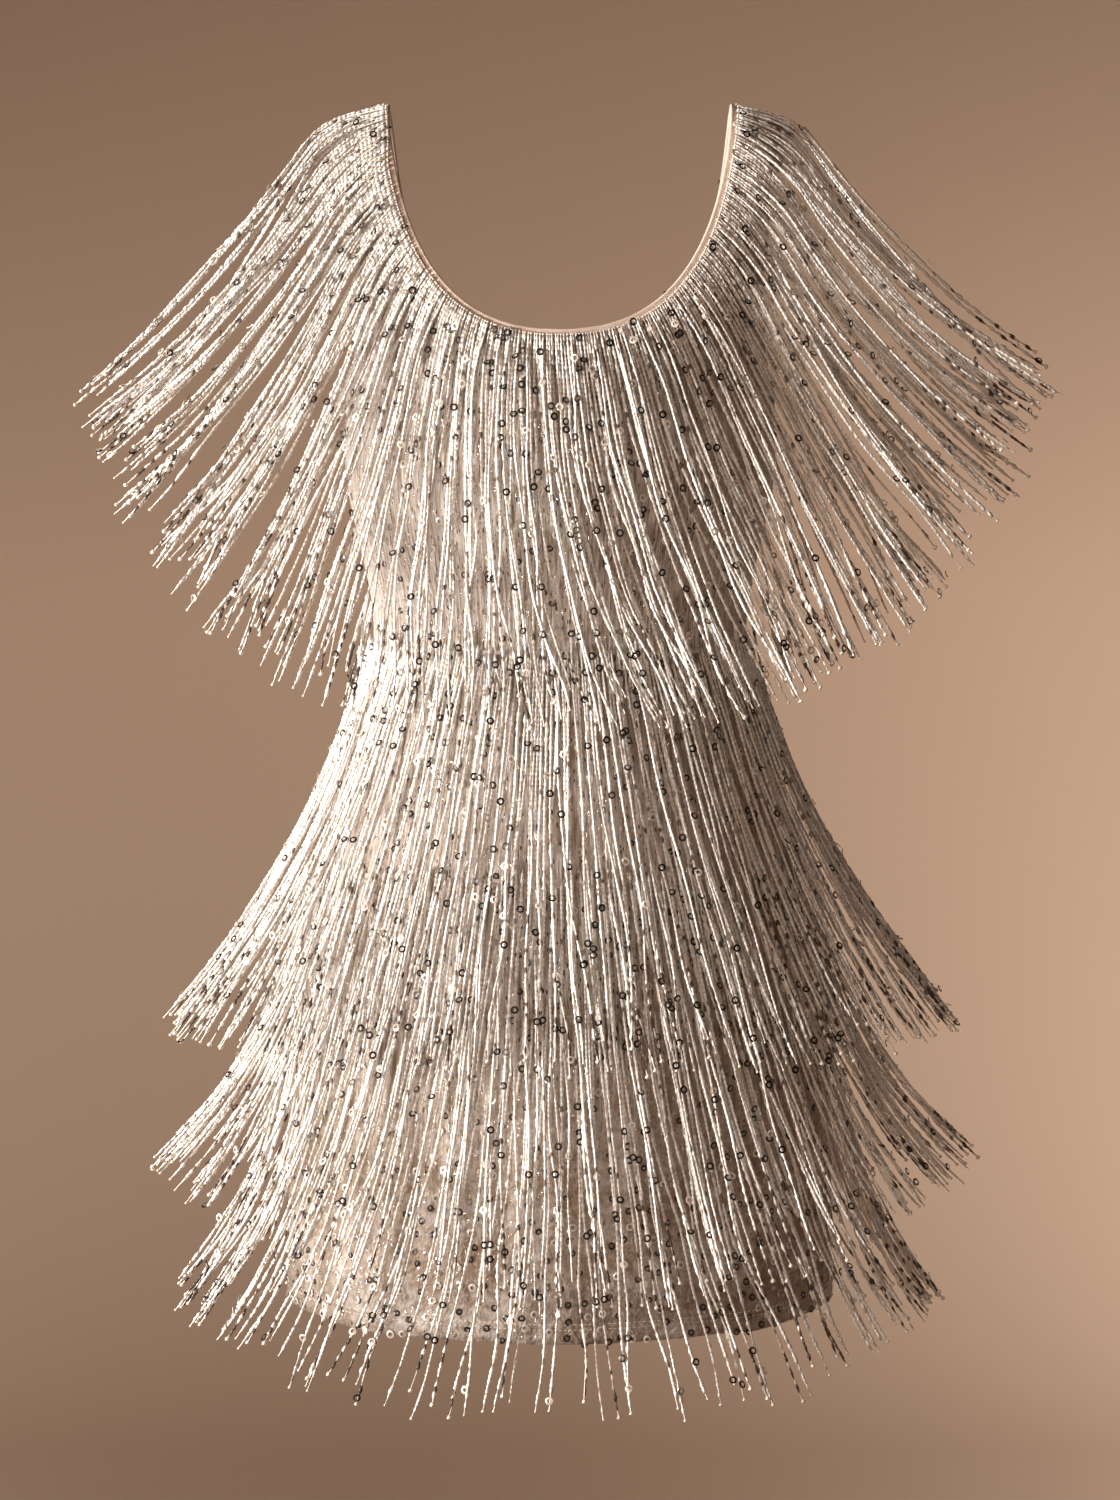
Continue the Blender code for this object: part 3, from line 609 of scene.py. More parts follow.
def makeRingTree():
    tree, given = newTree("scatteredRings", {**ringSettings, "Seed": 1})
    level = addNode(tree, "ShaderNodeSeparateXYZ", {
        0: addNode(tree, "GeometryNodeInputPosition").outputs[0]}).outputs["Z"]
    above = addNode(tree, "ShaderNodeMath", {0: given["Hem top"], 1: given["Hem fade"]}, operation="ADD").outputs[0]
    crowd = addNode(tree, "ShaderNodeMapRange", {
        "Value": level, "From Min": given["Hem top"], "From Max": above,
        "To Min": given["Hem share"], "To Max": given["Thin share"]})
    scatter = addNode(tree, "GeometryNodeDistributePointsOnFaces", {
        "Mesh": given["Geometry"], "Distance Min": given["Spacing"], "Density Max": given["Density"],
        "Density Factor": crowd.outputs[0], "Seed": given["Seed"]}, distribute_method="POISSON")
    half = addNode(tree, "ShaderNodeMath", {0: given["Band width"], 1: 0.5}, operation="MULTIPLY").outputs[0]
    inner = addNode(tree, "ShaderNodeMath", {0: half, 1: -1.0}, operation="MULTIPLY").outputs[0]
    start = addNode(tree, "ShaderNodeCombineXYZ", {"X": inner}).outputs[0]
    end = addNode(tree, "ShaderNodeCombineXYZ", {"X": half, "Y": given["Cup"]}).outputs[0]
    ring = ringShape(tree, given["Ring radius"], 10, start, end)
    negative = addNode(tree, "ShaderNodeMath", {0: given["Lean"], 1: -1.0}, operation="MULTIPLY").outputs[0]
    low = addNode(tree, "ShaderNodeCombineXYZ", {"X": negative, "Y": negative, "Z": -3.14}).outputs[0]
    high = addNode(tree, "ShaderNodeCombineXYZ", {"X": given["Lean"], "Y": given["Lean"], "Z": 3.14}).outputs[0]
    lean = addNode(tree, "FunctionNodeRandomValue", {0: low, 1: high}, data_type="FLOAT_VECTOR")
    turned = turnedOn(tree, scatter.outputs["Rotation"], lean.outputs[0])
    size = addNode(tree, "FunctionNodeRandomValue", {2: given["Smallest"], 3: given["Largest"]}, data_type="FLOAT")
    placed = addNode(tree, "GeometryNodeInstanceOnPoints", {
        "Points": scatter.outputs["Points"], "Instance": ring, "Rotation": turned, "Scale": size.outputs[1]})
    rise = addNode(tree, "ShaderNodeCombineXYZ", {"Z": given["Lift"]}).outputs[0]
    lifted = addNode(tree, "GeometryNodeTranslateInstances", {
        "Instances": placed.outputs[0], "Translation": rise, "Local Space": True})
    tint = addNode(tree, "FunctionNodeRandomValue", {2: 0.0, 3: 1.0}, data_type="FLOAT")
    toned = addNode(tree, "GeometryNodeStoreNamedAttribute", {
        "Geometry": lifted.outputs[0], "Name": "tint", "Value": tint.outputs[1],
    }, data_type="FLOAT", domain="INSTANCE")
    addNode(tree, "NodeGroupOutput", {"Geometry": madeReal(tree, toned.outputs[0], ringFilm)})
    return tree


ringTree = makeRingTree()
rings = {}
for side, sheet in panels.items():
    name = "ringSequins" + sideNames[side]
    source = addPiece(name + "Source", sheet.data.copy())
    rings[side] = growPiece(name, source, ringTree, {**ringSettings, "Seed": 4 + side})
    wall = sheet.modifiers.new("wall", "SOLIDIFY")
    wall.thickness, wall.offset = panelGrid["cloth"], -1
    thick = bakedMesh(sheet)
    sheet.modifiers.clear()
    sheet.data = thick
print("ring sequins:", [len(r.data.polygons) for r in rings.values()])


# Neck binding: tape folded over the edge of both panels
binding = {"outer": 0.0062, "inner": 0.006, "thick": 0.0008, "gap": 0.0003, "stations": 46, "lap": 0.002,
           "ridgeFrom": 0.985}  # past this share of the neck's edge the tape turns level, over the shoulder seam


def makeBinding():
    near, far, wall = binding["gap"], binding["gap"] + binding["thick"], panelGrid["cloth"]
    bottom = -wall - far
    middle, reach = (far + bottom) / 2, (far - bottom) / 2
    nose = [(-near - reach * math.sin(a) * 0.8, middle + reach * math.cos(a))
            for a in np.linspace(0.15, math.pi - 0.15, 7)]
    # The tape's section as (away from the neck's edge, out of the cloth), round it from its outer hem
    section = [(binding["outer"], near), (binding["outer"] + 0.0002, (near + far) / 2),
               (binding["outer"] - 0.0003, far), (0.003, far + 0.00015), (0.0004, far)] + nose + [
               (0.0004, bottom), (0.003, bottom - 0.0001), (binding["inner"], bottom),
               (binding["inner"], -wall - near), (0.0, -wall - near), (-near, middle), (0.0, near)]
    stations = []
    for side, mirror in ((front, 1), (back, 1), (back, -1), (front, -1)):
        shares = np.linspace(0, 1, binding["stations"] + 1)
        upward = (side == front) == (mirror == 1)
        order = range(binding["stations"]) if upward else range(binding["stations"], 0, -1)
        x, z = neckCurve(side, shares)
        _, normals, downs = neckFrame(side, np.minimum(shares, binding["ridgeFrom"]), binding["lap"])
        for k in order:
            normal, down = normals[k], downs[k]
            if shares[k] > binding["ridgeFrom"]:
                slope = neckLine["shoulderFall"] / (armhole["halfWidth"][-1] - neckLine["halfWidth"])
                ease = (shares[k] - binding["ridgeFrom"]) / (1 - binding["ridgeFrom"])
                normal = unit(normal * (1 - ease) + np.array([slope, 0, 1.0]) * ease)
                down = unit(down * (1 - ease) + np.array([1.0, 0, -slope]) * ease)
            edge = clothPoint(side, float(x[k]), float(z[k]))
            ring = np.array([edge + down * across + normal * out for across, out in section])
            stations.append(ring * [mirror, 1, 1])
    count, total = len(section), len(stations)
    faces = [(r * count + k, r * count + (k + 1) % count, (r + 1) % total * count + (k + 1) % count,
              (r + 1) % total * count + k) for r in range(total) for k in range(count)]
    piece = addPiece("neckTape", meshOf("neckTape", np.concatenate(stations), faces=faces))
    piece.data.shade_smooth()
    piece.data.materials.append(tape)
    return piece


neckTape = makeBinding()
print("binding is made")


# Stitches: twin rows over the hem, one round each armhole, one along the tape
stitching = {"Length": 0.0026, "Gap": 0.0008, "Thickness": 0.00028}
seams = {"hemRises": (0.010, 0.0135), "fromArmhole": 0.006, "fromTapeEdge": 0.0012, "lift": 0.0003, "end": 0.985}


def makeStitchTree():
    tree, given = newTree("stitches", stitching)
    curve = addNode(tree, "GeometryNodeMeshToCurve", {"Mesh": given["Geometry"]})
    pitch = addNode(tree, "ShaderNodeMath", {0: given["Length"], 1: given["Gap"]}, operation="ADD").outputs[0]
    dots = addNode(tree, "GeometryNodeResampleCurve", {"Curve": curve.outputs[0], "Length": pitch}, mode="LENGTH")
    grain = addNode(tree, "GeometryNodeMeshIcoSphere", {"Radius": given["Thickness"], "Subdivisions": 1})
    stretch = addNode(tree, "ShaderNodeMath", {
        0: given["Length"], 1: given["Thickness"]}, operation="DIVIDE").outputs[0]
    half = addNode(tree, "ShaderNodeMath", {0: stretch, 1: 0.5}, operation="MULTIPLY").outputs[0]
    shape = addNode(tree, "ShaderNodeCombineXYZ", {"X": half, "Y": 1.0, "Z": 1.0}).outputs[0]
    tangent = addNode(tree, "GeometryNodeInputTangent").outputs[0]
    turn = addNode(tree, "FunctionNodeAlignRotationToVector", {"Vector": tangent}, axis="X")
    placed = addNode(tree, "GeometryNodeInstanceOnPoints", {
        "Points": dots.outputs[0], "Instance": grain.outputs[0], "Rotation": turn.outputs[0], "Scale": shape})
    addNode(tree, "NodeGroupOutput", {"Geometry": madeReal(tree, placed.outputs[0], thread)})
    return tree


def polylines(name, lines):  # a mesh of open chains of edges
    points, edges = [], []
    for line in lines:
        first = len(points)
        points += list(line)
        edges += [(k, k + 1) for k in range(first, len(points) - 1)]
    return addPiece(name, meshOf(name, points, edges=edges))


def makeStitches():
    lines = []
    end = seams["end"]
    angles = np.linspace(-math.pi / 2 * end, math.pi / 2 * end, 240)
    for side in (front, back):
        for rise in seams["hemRises"]:
            z = bodyForm["hem"] + rise - bodyForm["hemDip"] * (1 - smoothShare(np.abs(angles) * 2 / math.pi))
            place = pressedCloth(side, halfWidthAt(z) * np.sin(angles), z, seams["lift"])
            lines.append(keptApart(side, place))
        share = np.linspace(0.02, 0.97, 90)
        armX = smoothCurve(armhole["share"], armhole["halfWidth"], share)
        armZ = smoothCurve(armhole["share"], armhole["level"], share)
        for mirror in (1, -1):
            place = pressedCloth(
                side, mirror * (armX - seams["fromArmhole"]), armZ - 0.003 * (1 - share), seams["lift"])
            lines.append(keptApart(side, place))
        point, normal, _ = neckFrame(side, np.linspace(-end, end, 260), binding["outer"] - seams["fromTapeEdge"])
        lines.append(point + normal * (binding["gap"] + binding["thick"] + 0.0001))
    source = polylines("stitchLines", lines)
    return growPiece("stitches", source, makeStitchTree(), stitching)


stitches = makeStitches()
print("stitches:", len(stitches.data.polygons))


# Fringe: strings of small cup sequins on thread, from a header tape at each row
strandPoints = 34  # along the path of each strand
strandParts = {
    "Sequin length": 0.0052, "Sequin width": 0.00136, "Sequin depth": 0.00098, "Sequin pitch": 0.0033,
    "Smallest": 0.80, "Largest": 1.18, "Roll": 0.8, "Tilt": 0.07,
    "Thread radius": 0.0005, "Thread step": 0.028, "Bead radius": 0.00125,
    "Root bare to": 0.005, "Tip bare from": 0.979, "Missing at tip": 0.3, "Heavy from": 1.15, "Painted shade at tip": -0.85,
    "Ring share": 0.036, "Ring radius": 0.0021,
}
strungRing = {  # the two edges of its band, how far it swings and how far it stands out
    "inner": (-0.00068, 0, 0), "outer": (0.00068, 0.0003, 0), "turnFrom": (-0.6, -0.4, -3.14),
    "turnTo": (0.6, 0.4, 3.14), "proudFrom": (0, 0, 0.0014), "proudTo": (0, 0, 0.0046),
}


def makeFringeTree():
    tree, given = newTree("sequinStrands", {**strandParts, "Seed": 1})
    isTape = addNode(tree, "GeometryNodeInputNamedAttribute", {"Name": "header"}, data_type="BOOLEAN")
    parts = addNode(tree, "GeometryNodeSeparateGeometry", {
        "Geometry": given["Geometry"], "Selection": isTape.outputs[0]}, domain="POINT")
    header = addNode(tree, "GeometryNodeSetMaterial", {"Geometry": parts.outputs[0], "Material": meshCloth})
    curve = addNode(tree, "GeometryNodeMeshToCurve", {"Mesh": parts.outputs[1]})
    profile = addNode(tree, "GeometryNodeCurvePrimitiveCircle", {"Resolution": 3, "Radius": given["Thread radius"]})
    eased = addNode(tree, "GeometryNodeResampleCurve", {
        "Curve": curve.outputs[0], "Length": given["Thread step"]}, mode="LENGTH")
    core = addNode(tree, "GeometryNodeCurveToMesh", {
        "Curve": eased.outputs[0], "Profile Curve": profile.outputs[0], "Fill Caps": True})
    core = addNode(tree, "GeometryNodeSetMaterial", {"Geometry": core.outputs[0], "Material": thread})
    dots = addNode(tree, "GeometryNodeResampleCurve", {
        "Curve": curve.outputs[0], "Length": given["Sequin pitch"]}, mode="LENGTH")
    # One sequin: a deep cup folded on its thread, eight faces, soft shaded; toEnd is 0 at its waist, 1 at its ends
    folded = addNode(tree, "GeometryNodeMeshUVSphere", {"Segments": 4, "Rings": 2, "Radius": 1.0})
    endward = addNode(tree, "ShaderNodeSeparateXYZ", {
        0: addNode(tree, "GeometryNodeInputPosition").outputs[0]}).outputs["X"]
    endward = addNode(tree, "ShaderNodeMath", {0: endward}, operation="ABSOLUTE").outputs[0]
    marked = addNode(tree, "GeometryNodeStoreNamedAttribute", {
        "Geometry": folded.outputs["Mesh"], "Name": "toEnd", "Value": endward}, data_type="FLOAT", domain="POINT")
    stretched = addNode(tree, "ShaderNodeCombineXYZ", {
        "X": given["Sequin length"], "Y": given["Sequin width"], "Z": given["Sequin depth"]}).outputs[0]
    cup = addNode(tree, "GeometryNodeTransform", {"Geometry": marked.outputs[0], "Scale": stretched})
    cup = addNode(tree, "GeometryNodeSetShadeSmooth", {"Geometry": cup.outputs[0], "Shade Smooth": True})
    # It lies along the strand, turned about it at random and a little askew
    heading, outward, along, twist, beadSize = [
        addNode(tree, "GeometryNodeInputNamedAttribute", {"Name": label}, data_type=kind).outputs[0]
        for label, kind in (("heading", "FLOAT_VECTOR"), ("outward", "FLOAT_VECTOR"), ("along", "FLOAT"),
                            ("twist", "FLOAT"), ("bead", "FLOAT"))]
    facing = addNode(tree, "FunctionNodeAxesToRotation", {
        0: heading, 1: outward}, primary_axis="X", secondary_axis="Z").outputs[0]
    least = addNode(tree, "ShaderNodeMath", {0: given["Roll"], 1: -1.0}, operation="MULTIPLY").outputs[0]
    rolled = addNode(tree, "FunctionNodeRandomValue", {
        2: least, 3: given["Roll"], "Seed": given["Seed"]}, data_type="FLOAT")
    roll = addNode(tree, "ShaderNodeMath", {0: rolled.outputs[1], 1: twist}, operation="ADD").outputs[0]
    euler = addNode(tree, "ShaderNodeCombineXYZ", {"X": roll, "Y": given["Tilt"]}).outputs[0]
    size = addNode(tree, "FunctionNodeRandomValue", {
        2: given["Smallest"], 3: given["Largest"], "Seed": given["Seed"]}, data_type="FLOAT")
    # Towards the tip some sequins are missing and the thread shows; none sits on the very root or the tip bead
    isRoot = addNode(tree, "ShaderNodeMath", {
        0: along, 1: given["Root bare to"]}, operation="LESS_THAN").outputs[0]
    isTip = addNode(tree, "ShaderNodeMath", {
        0: along, 1: given["Tip bare from"]}, operation="GREATER_THAN").outputs[0]
    isBare = addNode(tree, "ShaderNodeMath", {0: isRoot, 1: isTip}, operation="ADD").outputs[0]
    missing = addNode(tree, "ShaderNodeMath", {0: along, 1: 6.0}, operation="POWER").outputs[0]
    missing = addNode(tree, "ShaderNodeMath", {
        0: missing, 1: given["Missing at tip"], 2: isBare}, operation="MULTIPLY_ADD").outputs[0]
    chance = addNode(tree, "FunctionNodeRandomValue", {2: 0.0, 3: 1.0, "Seed": 9}, data_type="FLOAT")
    kept = addNode(tree, "FunctionNodeCompare", {
        0: chance.outputs[1], 1: missing}, operation="GREATER_THAN", data_type="FLOAT")
    placed = addNode(tree, "GeometryNodeInstanceOnPoints", {
        "Points": dots.outputs[0], "Selection": kept.outputs[0], "Instance": cup.outputs[0],
        "Rotation": turnedOn(tree, facing, euler), "Scale": size.outputs[1]})
    tint = addNode(tree, "FunctionNodeRandomValue", {2: 0.0, 3: 1.0, "Seed": 3}, data_type="FLOAT")
    # Strands with a heavy tip bead end in a chain of sequins darkened with painted shade
    isHeavy = addNode(tree, "ShaderNodeMath", {
        0: beadSize, 1: given["Heavy from"]}, operation="GREATER_THAN").outputs[0]
    nearTip = addNode(tree, "ShaderNodeMath", {0: along, 1: 9.0}, operation="POWER").outputs[0]
    shadedTint = addNode(tree, "ShaderNodeMath", {0: isHeavy, 1: nearTip}, operation="MULTIPLY").outputs[0]
    shadedTint = addNode(tree, "ShaderNodeMath", {
        0: shadedTint, 1: given["Painted shade at tip"], 2: tint.outputs[1]}, operation="MULTIPLY_ADD").outputs[0]
    toned = addNode(tree, "GeometryNodeStoreNamedAttribute", {
        "Geometry": placed.outputs[0], "Name": "tint", "Value": shadedTint,
    }, data_type="FLOAT", domain="INSTANCE")
    sequins = madeReal(tree, toned.outputs[0], strandFilm)
    # Here and there a larger ring sequin is strung on the outer side
    picked = addNode(tree, "FunctionNodeRandomValue", {2: 0.0, 3: 1.0, "Seed": 21}, data_type="FLOAT")
    isRing = addNode(tree, "FunctionNodeCompare", {
        0: picked.outputs[1], 1: given["Ring share"]}, operation="LESS_THAN", data_type="FLOAT")
    ring = ringShape(tree, given["Ring radius"], 8, strungRing["inner"], strungRing["outer"])
    loose = addNode(tree, "FunctionNodeRandomValue", {
        0: strungRing["turnFrom"], 1: strungRing["turnTo"], "Seed": 22}, data_type="FLOAT_VECTOR")
    hung = addNode(tree, "GeometryNodeInstanceOnPoints", {
        "Points": dots.outputs[0], "Selection": isRing.outputs[0], "Instance": ring,
        "Rotation": turnedOn(tree, facing, loose.outputs[0])})
    proud = addNode(tree, "FunctionNodeRandomValue", {
        0: strungRing["proudFrom"], 1: strungRing["proudTo"], "Seed": 23}, data_type="FLOAT_VECTOR")
    hung = addNode(tree, "GeometryNodeTranslateInstances", {
        "Instances": hung.outputs[0], "Translation": proud.outputs[0], "Local Space": True})
    hung = addNode(tree, "GeometryNodeStoreNamedAttribute", {
        "Geometry": hung.outputs[0], "Name": "tint", "Value": tint.outputs[1],
    }, data_type="FLOAT", domain="INSTANCE")
    strung = madeReal(tree, hung.outputs[0], ringFilm)
    # A bead at each root and a knotted bead at each tip
    isEnd = addNode(tree, "GeometryNodeCurveEndpointSelection", {"Start Size": 1, "End Size": 1})
    bead = addNode(tree, "GeometryNodeMeshIcoSphere", {"Radius": given["Bead radius"], "Subdivisions": 1})
    beads = addNode(tree, "GeometryNodeInstanceOnPoints", {
        "Points": curve.outputs[0], "Selection": isEnd.outputs[0], "Instance": bead.outputs[0], "Scale": beadSize})
    joined = addNode(tree, "GeometryNodeJoinGeometry")
    for part in (header.outputs[0], core.outputs[0], sequins, strung, madeReal(tree, beads.outputs[0], beadGlass)):
        tree.links.new(part, joined.inputs[0])
    addNode(tree, "NodeGroupOutput", {"Geometry": joined.outputs[0]})
    return tree


overlay = {"share": 0.3, "low": 0.0045, "high": 0.0095, "rest": 0.0012}  # strands over the others, how far out
strandPlan = {  # strands for each row and panel, how they clump, wander and surge together, and the shortest
    "neck": {front: 228, back: 138, "clump": 0.60, "wander": 0.0040, "surge": 0.016, "shortest": 0.13,
             "rootBead": 0.8},
    "waist": {front: 148, back: 98, "clump": 0.55, "wander": 0.0030, "surge": 0.008, "shortest": 0.08,
              "rootBead": 0.4},
    "hip": {front: 116, back: 82, "clump": 0.50, "wander": 0.0035, "surge": 0.010, "shortest": 0.08,
            "rootBead": 0.4},
    "lowHip": {front: 86, back: 62, "clump": 0.40, "wander": 0.0040, "surge": 0.008, "shortest": 0.09,
               "rootBead": 0.4},
}
bundles = {  # the neck's strands past the armholes hang in bundles, whose tips open and cross
    "from": 0.42, "to": 0.60, "smallest": 1, "largest": 10, "largestElsewhere": 5, "pull": 0.86,
    "tightest": 0.78, "loosen": 0.35, "cross": 0.008, "stagger": 0.006,
    "offCentre": 0.15, "hold": (0.6, 1.0), "holdElsewhere": (0.2, 1.0),
}
strandScatter = {  # how far one strand differs from the next
    "place": 0.28, "longest": 1.02, "shortBias": 1.7, "reach": (-0.10, 0.06), "swayWaves": (0.6, 1.3, 2.6),
    "surgeWaves": (3.3, 7.1, 12.7, 21.0), "tipBead": (0.5, 1.5), "twist": 1.2, "twistStep": 0.28,
}
fringeRows = {  # level, drop and stand-off at the middle and at the side, swing towards +X, spread to both sides
    "waist": {"node": "waist_fringe", "level": -.3706, "drop": .272, "sideDrop": .266,
              "reach": .032, "sideReach": .078, "drift": .035, "fan": .16},
    "hip": {"node": "hip_fringe", "level": -.5237, "drop": .274, "sideDrop": .213,
            "reach": .038, "sideReach": .082, "drift": .030, "fan": .24},
    "lowHip": {"node": "low_hip_fringe", "level": -.6143, "drop": .264, "sideDrop": .220,
               "reach": .026, "sideReach": .063, "drift": -.02, "fan": .40},
}
rowShape = {"endAngle": math.radians(87), "spread": 0.02, "curve": 2.5, "stand": 0.0023, "evening": 0.09,
            "unevenness": 0.003, "rise": (-0.006, 0.012)}
neckStrands = {  # place along the neck, lean on the cloth and off it in degrees, and the tip
    front: {
        "place": [-1, -.9, -.8, -.7, -.6, -.5, -.4, -.3, -.2, -.1, 0, .1, .2, .3, .4, .5, .6, .7, .8, .9, 1],
        "lean": [-76, -47, -38, -32, -27, -22, -16, -10, -5, 0, 4, 8, 13, 18, 23, 27, 31, 35, 41, 49, 76],
        "freeLean": [-35, -33, -30, -27, -24, -19, -13, -7, -2, 0, 3, 8, 13, 19, 24, 26, 27, 28, 30, 32, 34],
        "tipX": [-.331, -.318, -.301, -.278, -.250, -.214, -.164, -.100, -.047, .004, .057, .096, .134, .170,
                 .202, .234, .265, .290, .314, .331, .343],
        "tipY": [-.022, -.036, -.052, -.070, -.088, -.104, -.118, -.128, -.131, -.132, -.132, -.131, -.128,
                 -.124, -.116, -.104, -.088, -.070, -.052, -.036, -.022],
        "tipZ": [-.190, -.220, -.256, -.298, -.333, -.368, -.398, -.410, -.413, -.415, -.415, -.413, -.403,
                 -.390, -.372, -.346, -.314, -.284, -.246, -.208, -.179],
    },
    back: {
        "place": [-1, -.8, -.6, -.4, -.2, 0, .2, .4, .6, .8, 1],
        "lean": [-78, -47, -29, -17, -8, 0, 8, 17, 29, 47, 78],
        "freeLean": [-34, -29, -23, -14, -6, 0, 6, 14, 23, 29, 34],
        "tipX": [-.330, -.300, -.246, -.168, -.082, 0, .082, .168, .246, .304, .336],
        "tipY": [.022, .056, .092, .122, .136, .140, .136, .122, .092, .056, .022],
        "tipZ": [-.202, -.262, -.345, -.412, -.448, -.456, -.448, -.412, -.345, -.256, -.194],
    },
}
neckShape = {  # the way of a neck strand: in from the tape's edge, over the cloth, then free
    "insets": (.0032, .0062, .0092), "lifts": (.0026, .0030, .0032), "reaches": (.006, .013, .021, .029, .037),
    "reachLifts": (.0038, .0045, .0053, .006, .0065), "forward": 0.13, "end": 0.982,
    "strapFrom": 0.78, "strapRun": 0.12, "strapShift": 0.0028,
}
strapString = {"from": 0.1215, "to": 0.1560, "forward": 0.0015, "lift": 0.0016}
ribbon = {"insets": (.0085, .0115), "rises": (0, -.003), "faces": (.0007, .0012), "stations": 150}


def evenly(lines, count):  # each line again, with that many even points, softened
    result = []
    for line in lines:
        along = np.concatenate([[0], np.cumsum(np.linalg.norm(np.diff(line, axis=0), axis=1))])
        at = np.linspace(0, along[-1], count)
        result.append(np.stack([np.interp(at, along, line[:, k]) for k in range(3)], axis=1))
    result = np.array(result)
    for _ in range(3):
        result[:, 1:-1] = (result[:, :-2] + 2 * result[:, 1:-1] + result[:, 2:]) / 4
    return result


def rowLines(row, side, angle, lengthen, reachOut, rise):  # a hand-sewn row isn't quite level
    t = np.linspace(0, 1, strandPoints)[None, :]
    rise = np.clip(rise, *rowShape["rise"])
    angle, lengthen, reachOut, rise = (a[:, None] for a in (angle, lengthen, reachOut, rise))
    unevenness = rowShape["unevenness"] * np.sin(angle * 23) + rise * (1 - t)
    sideways = np.sin(angle) ** 2
    drop = (row["drop"] + (row["sideDrop"] - row["drop"]) * sideways) * lengthen
    reach = row["reach"] + (row["sideReach"] - row["reach"]) * sideways
    reach = reach * (1 + 0.06 * (np.cos(4 * angle) - np.sin(7 * angle) / 2)) * reachOut
    drift = row["drift"] * np.cos(angle) if side == front else 0 * angle
    fanned = row["fan"] * np.sin(2 * angle)
    out = rowShape["stand"] + rowShape["spread"] * drop * t + reach * t ** rowShape["curve"]
    swung = angle + drift * t * t + fanned * t ** 1.3
    return aroundPoint(side, swung, row["level"] + unevenness - drop * t, out)


def neckLines(side, place, lengthen, reachOut):
    table = neckStrands[side]
    lean, freeLean, tipX, tipY, tipZ = (
        smoothCurve(table["place"], table[name], place) for name in ("lean", "freeLean", "tipX", "tipY", "tipZ"))
    steps = []
    # On the strap at the left the strands start at the tape's very edge
    onStrap = smoothShare((-place - neckShape["strapFrom"]) / neckShape["strapRun"]) * (side == front)
    for k, (inset, lift) in enumerate(zip(neckShape["insets"], neckShape["lifts"])):
        point, normal, _ = neckFrame(side, place, inset - neckShape["strapShift"] * onStrap * (k == 0))
        steps.append(point + normal * lift)
    start = neckFrame(side, place, neckShape["insets"][-1])[0]
    for reach, lift in zip(neckShape["reaches"], neckShape["reachLifts"]):
        x = start[:, 0] + reach * np.sin(np.radians(lean))
        z = np.minimum(start[:, 2] - reach * np.cos(np.radians(lean)), ridgeLevel(x) - lift / 2)
        point, normal, _ = surfaceFrame(side, x, z, 0.0, -1.0)
        steps.append(point + normal * lift)
    edge = steps[-1]
    tip = start + (np.stack([tipX, tipY, tipZ], axis=1) - start) * lengthen[:, None]
    tip[:, 1] += side * (reachOut - 1) * 0.12
    span = np.linalg.norm(tip - edge, axis=1, keepdims=True)
    ahead = np.radians(freeLean)
    forward = np.full_like(ahead, side * neckShape["forward"])
    heading = np.stack([np.sin(ahead), forward, -np.cos(ahead)], axis=1) * span
    for t in np.linspace(0, 1, 15)[1:]:
        steps.append(edge + heading * t + (tip - edge - heading) * t * t)
    return evenly(np.stack(steps, axis=1), strandPoints)


def clumpCentres(places, free, rng):  # neighbours that hang together share a centre
    centres, strength, k = np.array(places, float), np.zeros(len(places)), 0
    while k < len(places):
        where = "" if free[k] > 0.5 else "Elsewhere"
        size = int(rng.integers(bundles["smallest"], bundles["largest" + where] + 1))
        group = slice(k, k + size)
        centres[group] = places[group].mean() + rng.normal() * bundles["offCentre"] * (places[1] - places[0])
        strength[group] = rng.uniform(*bundles["hold" + where])
        k += size
    return centres, strength


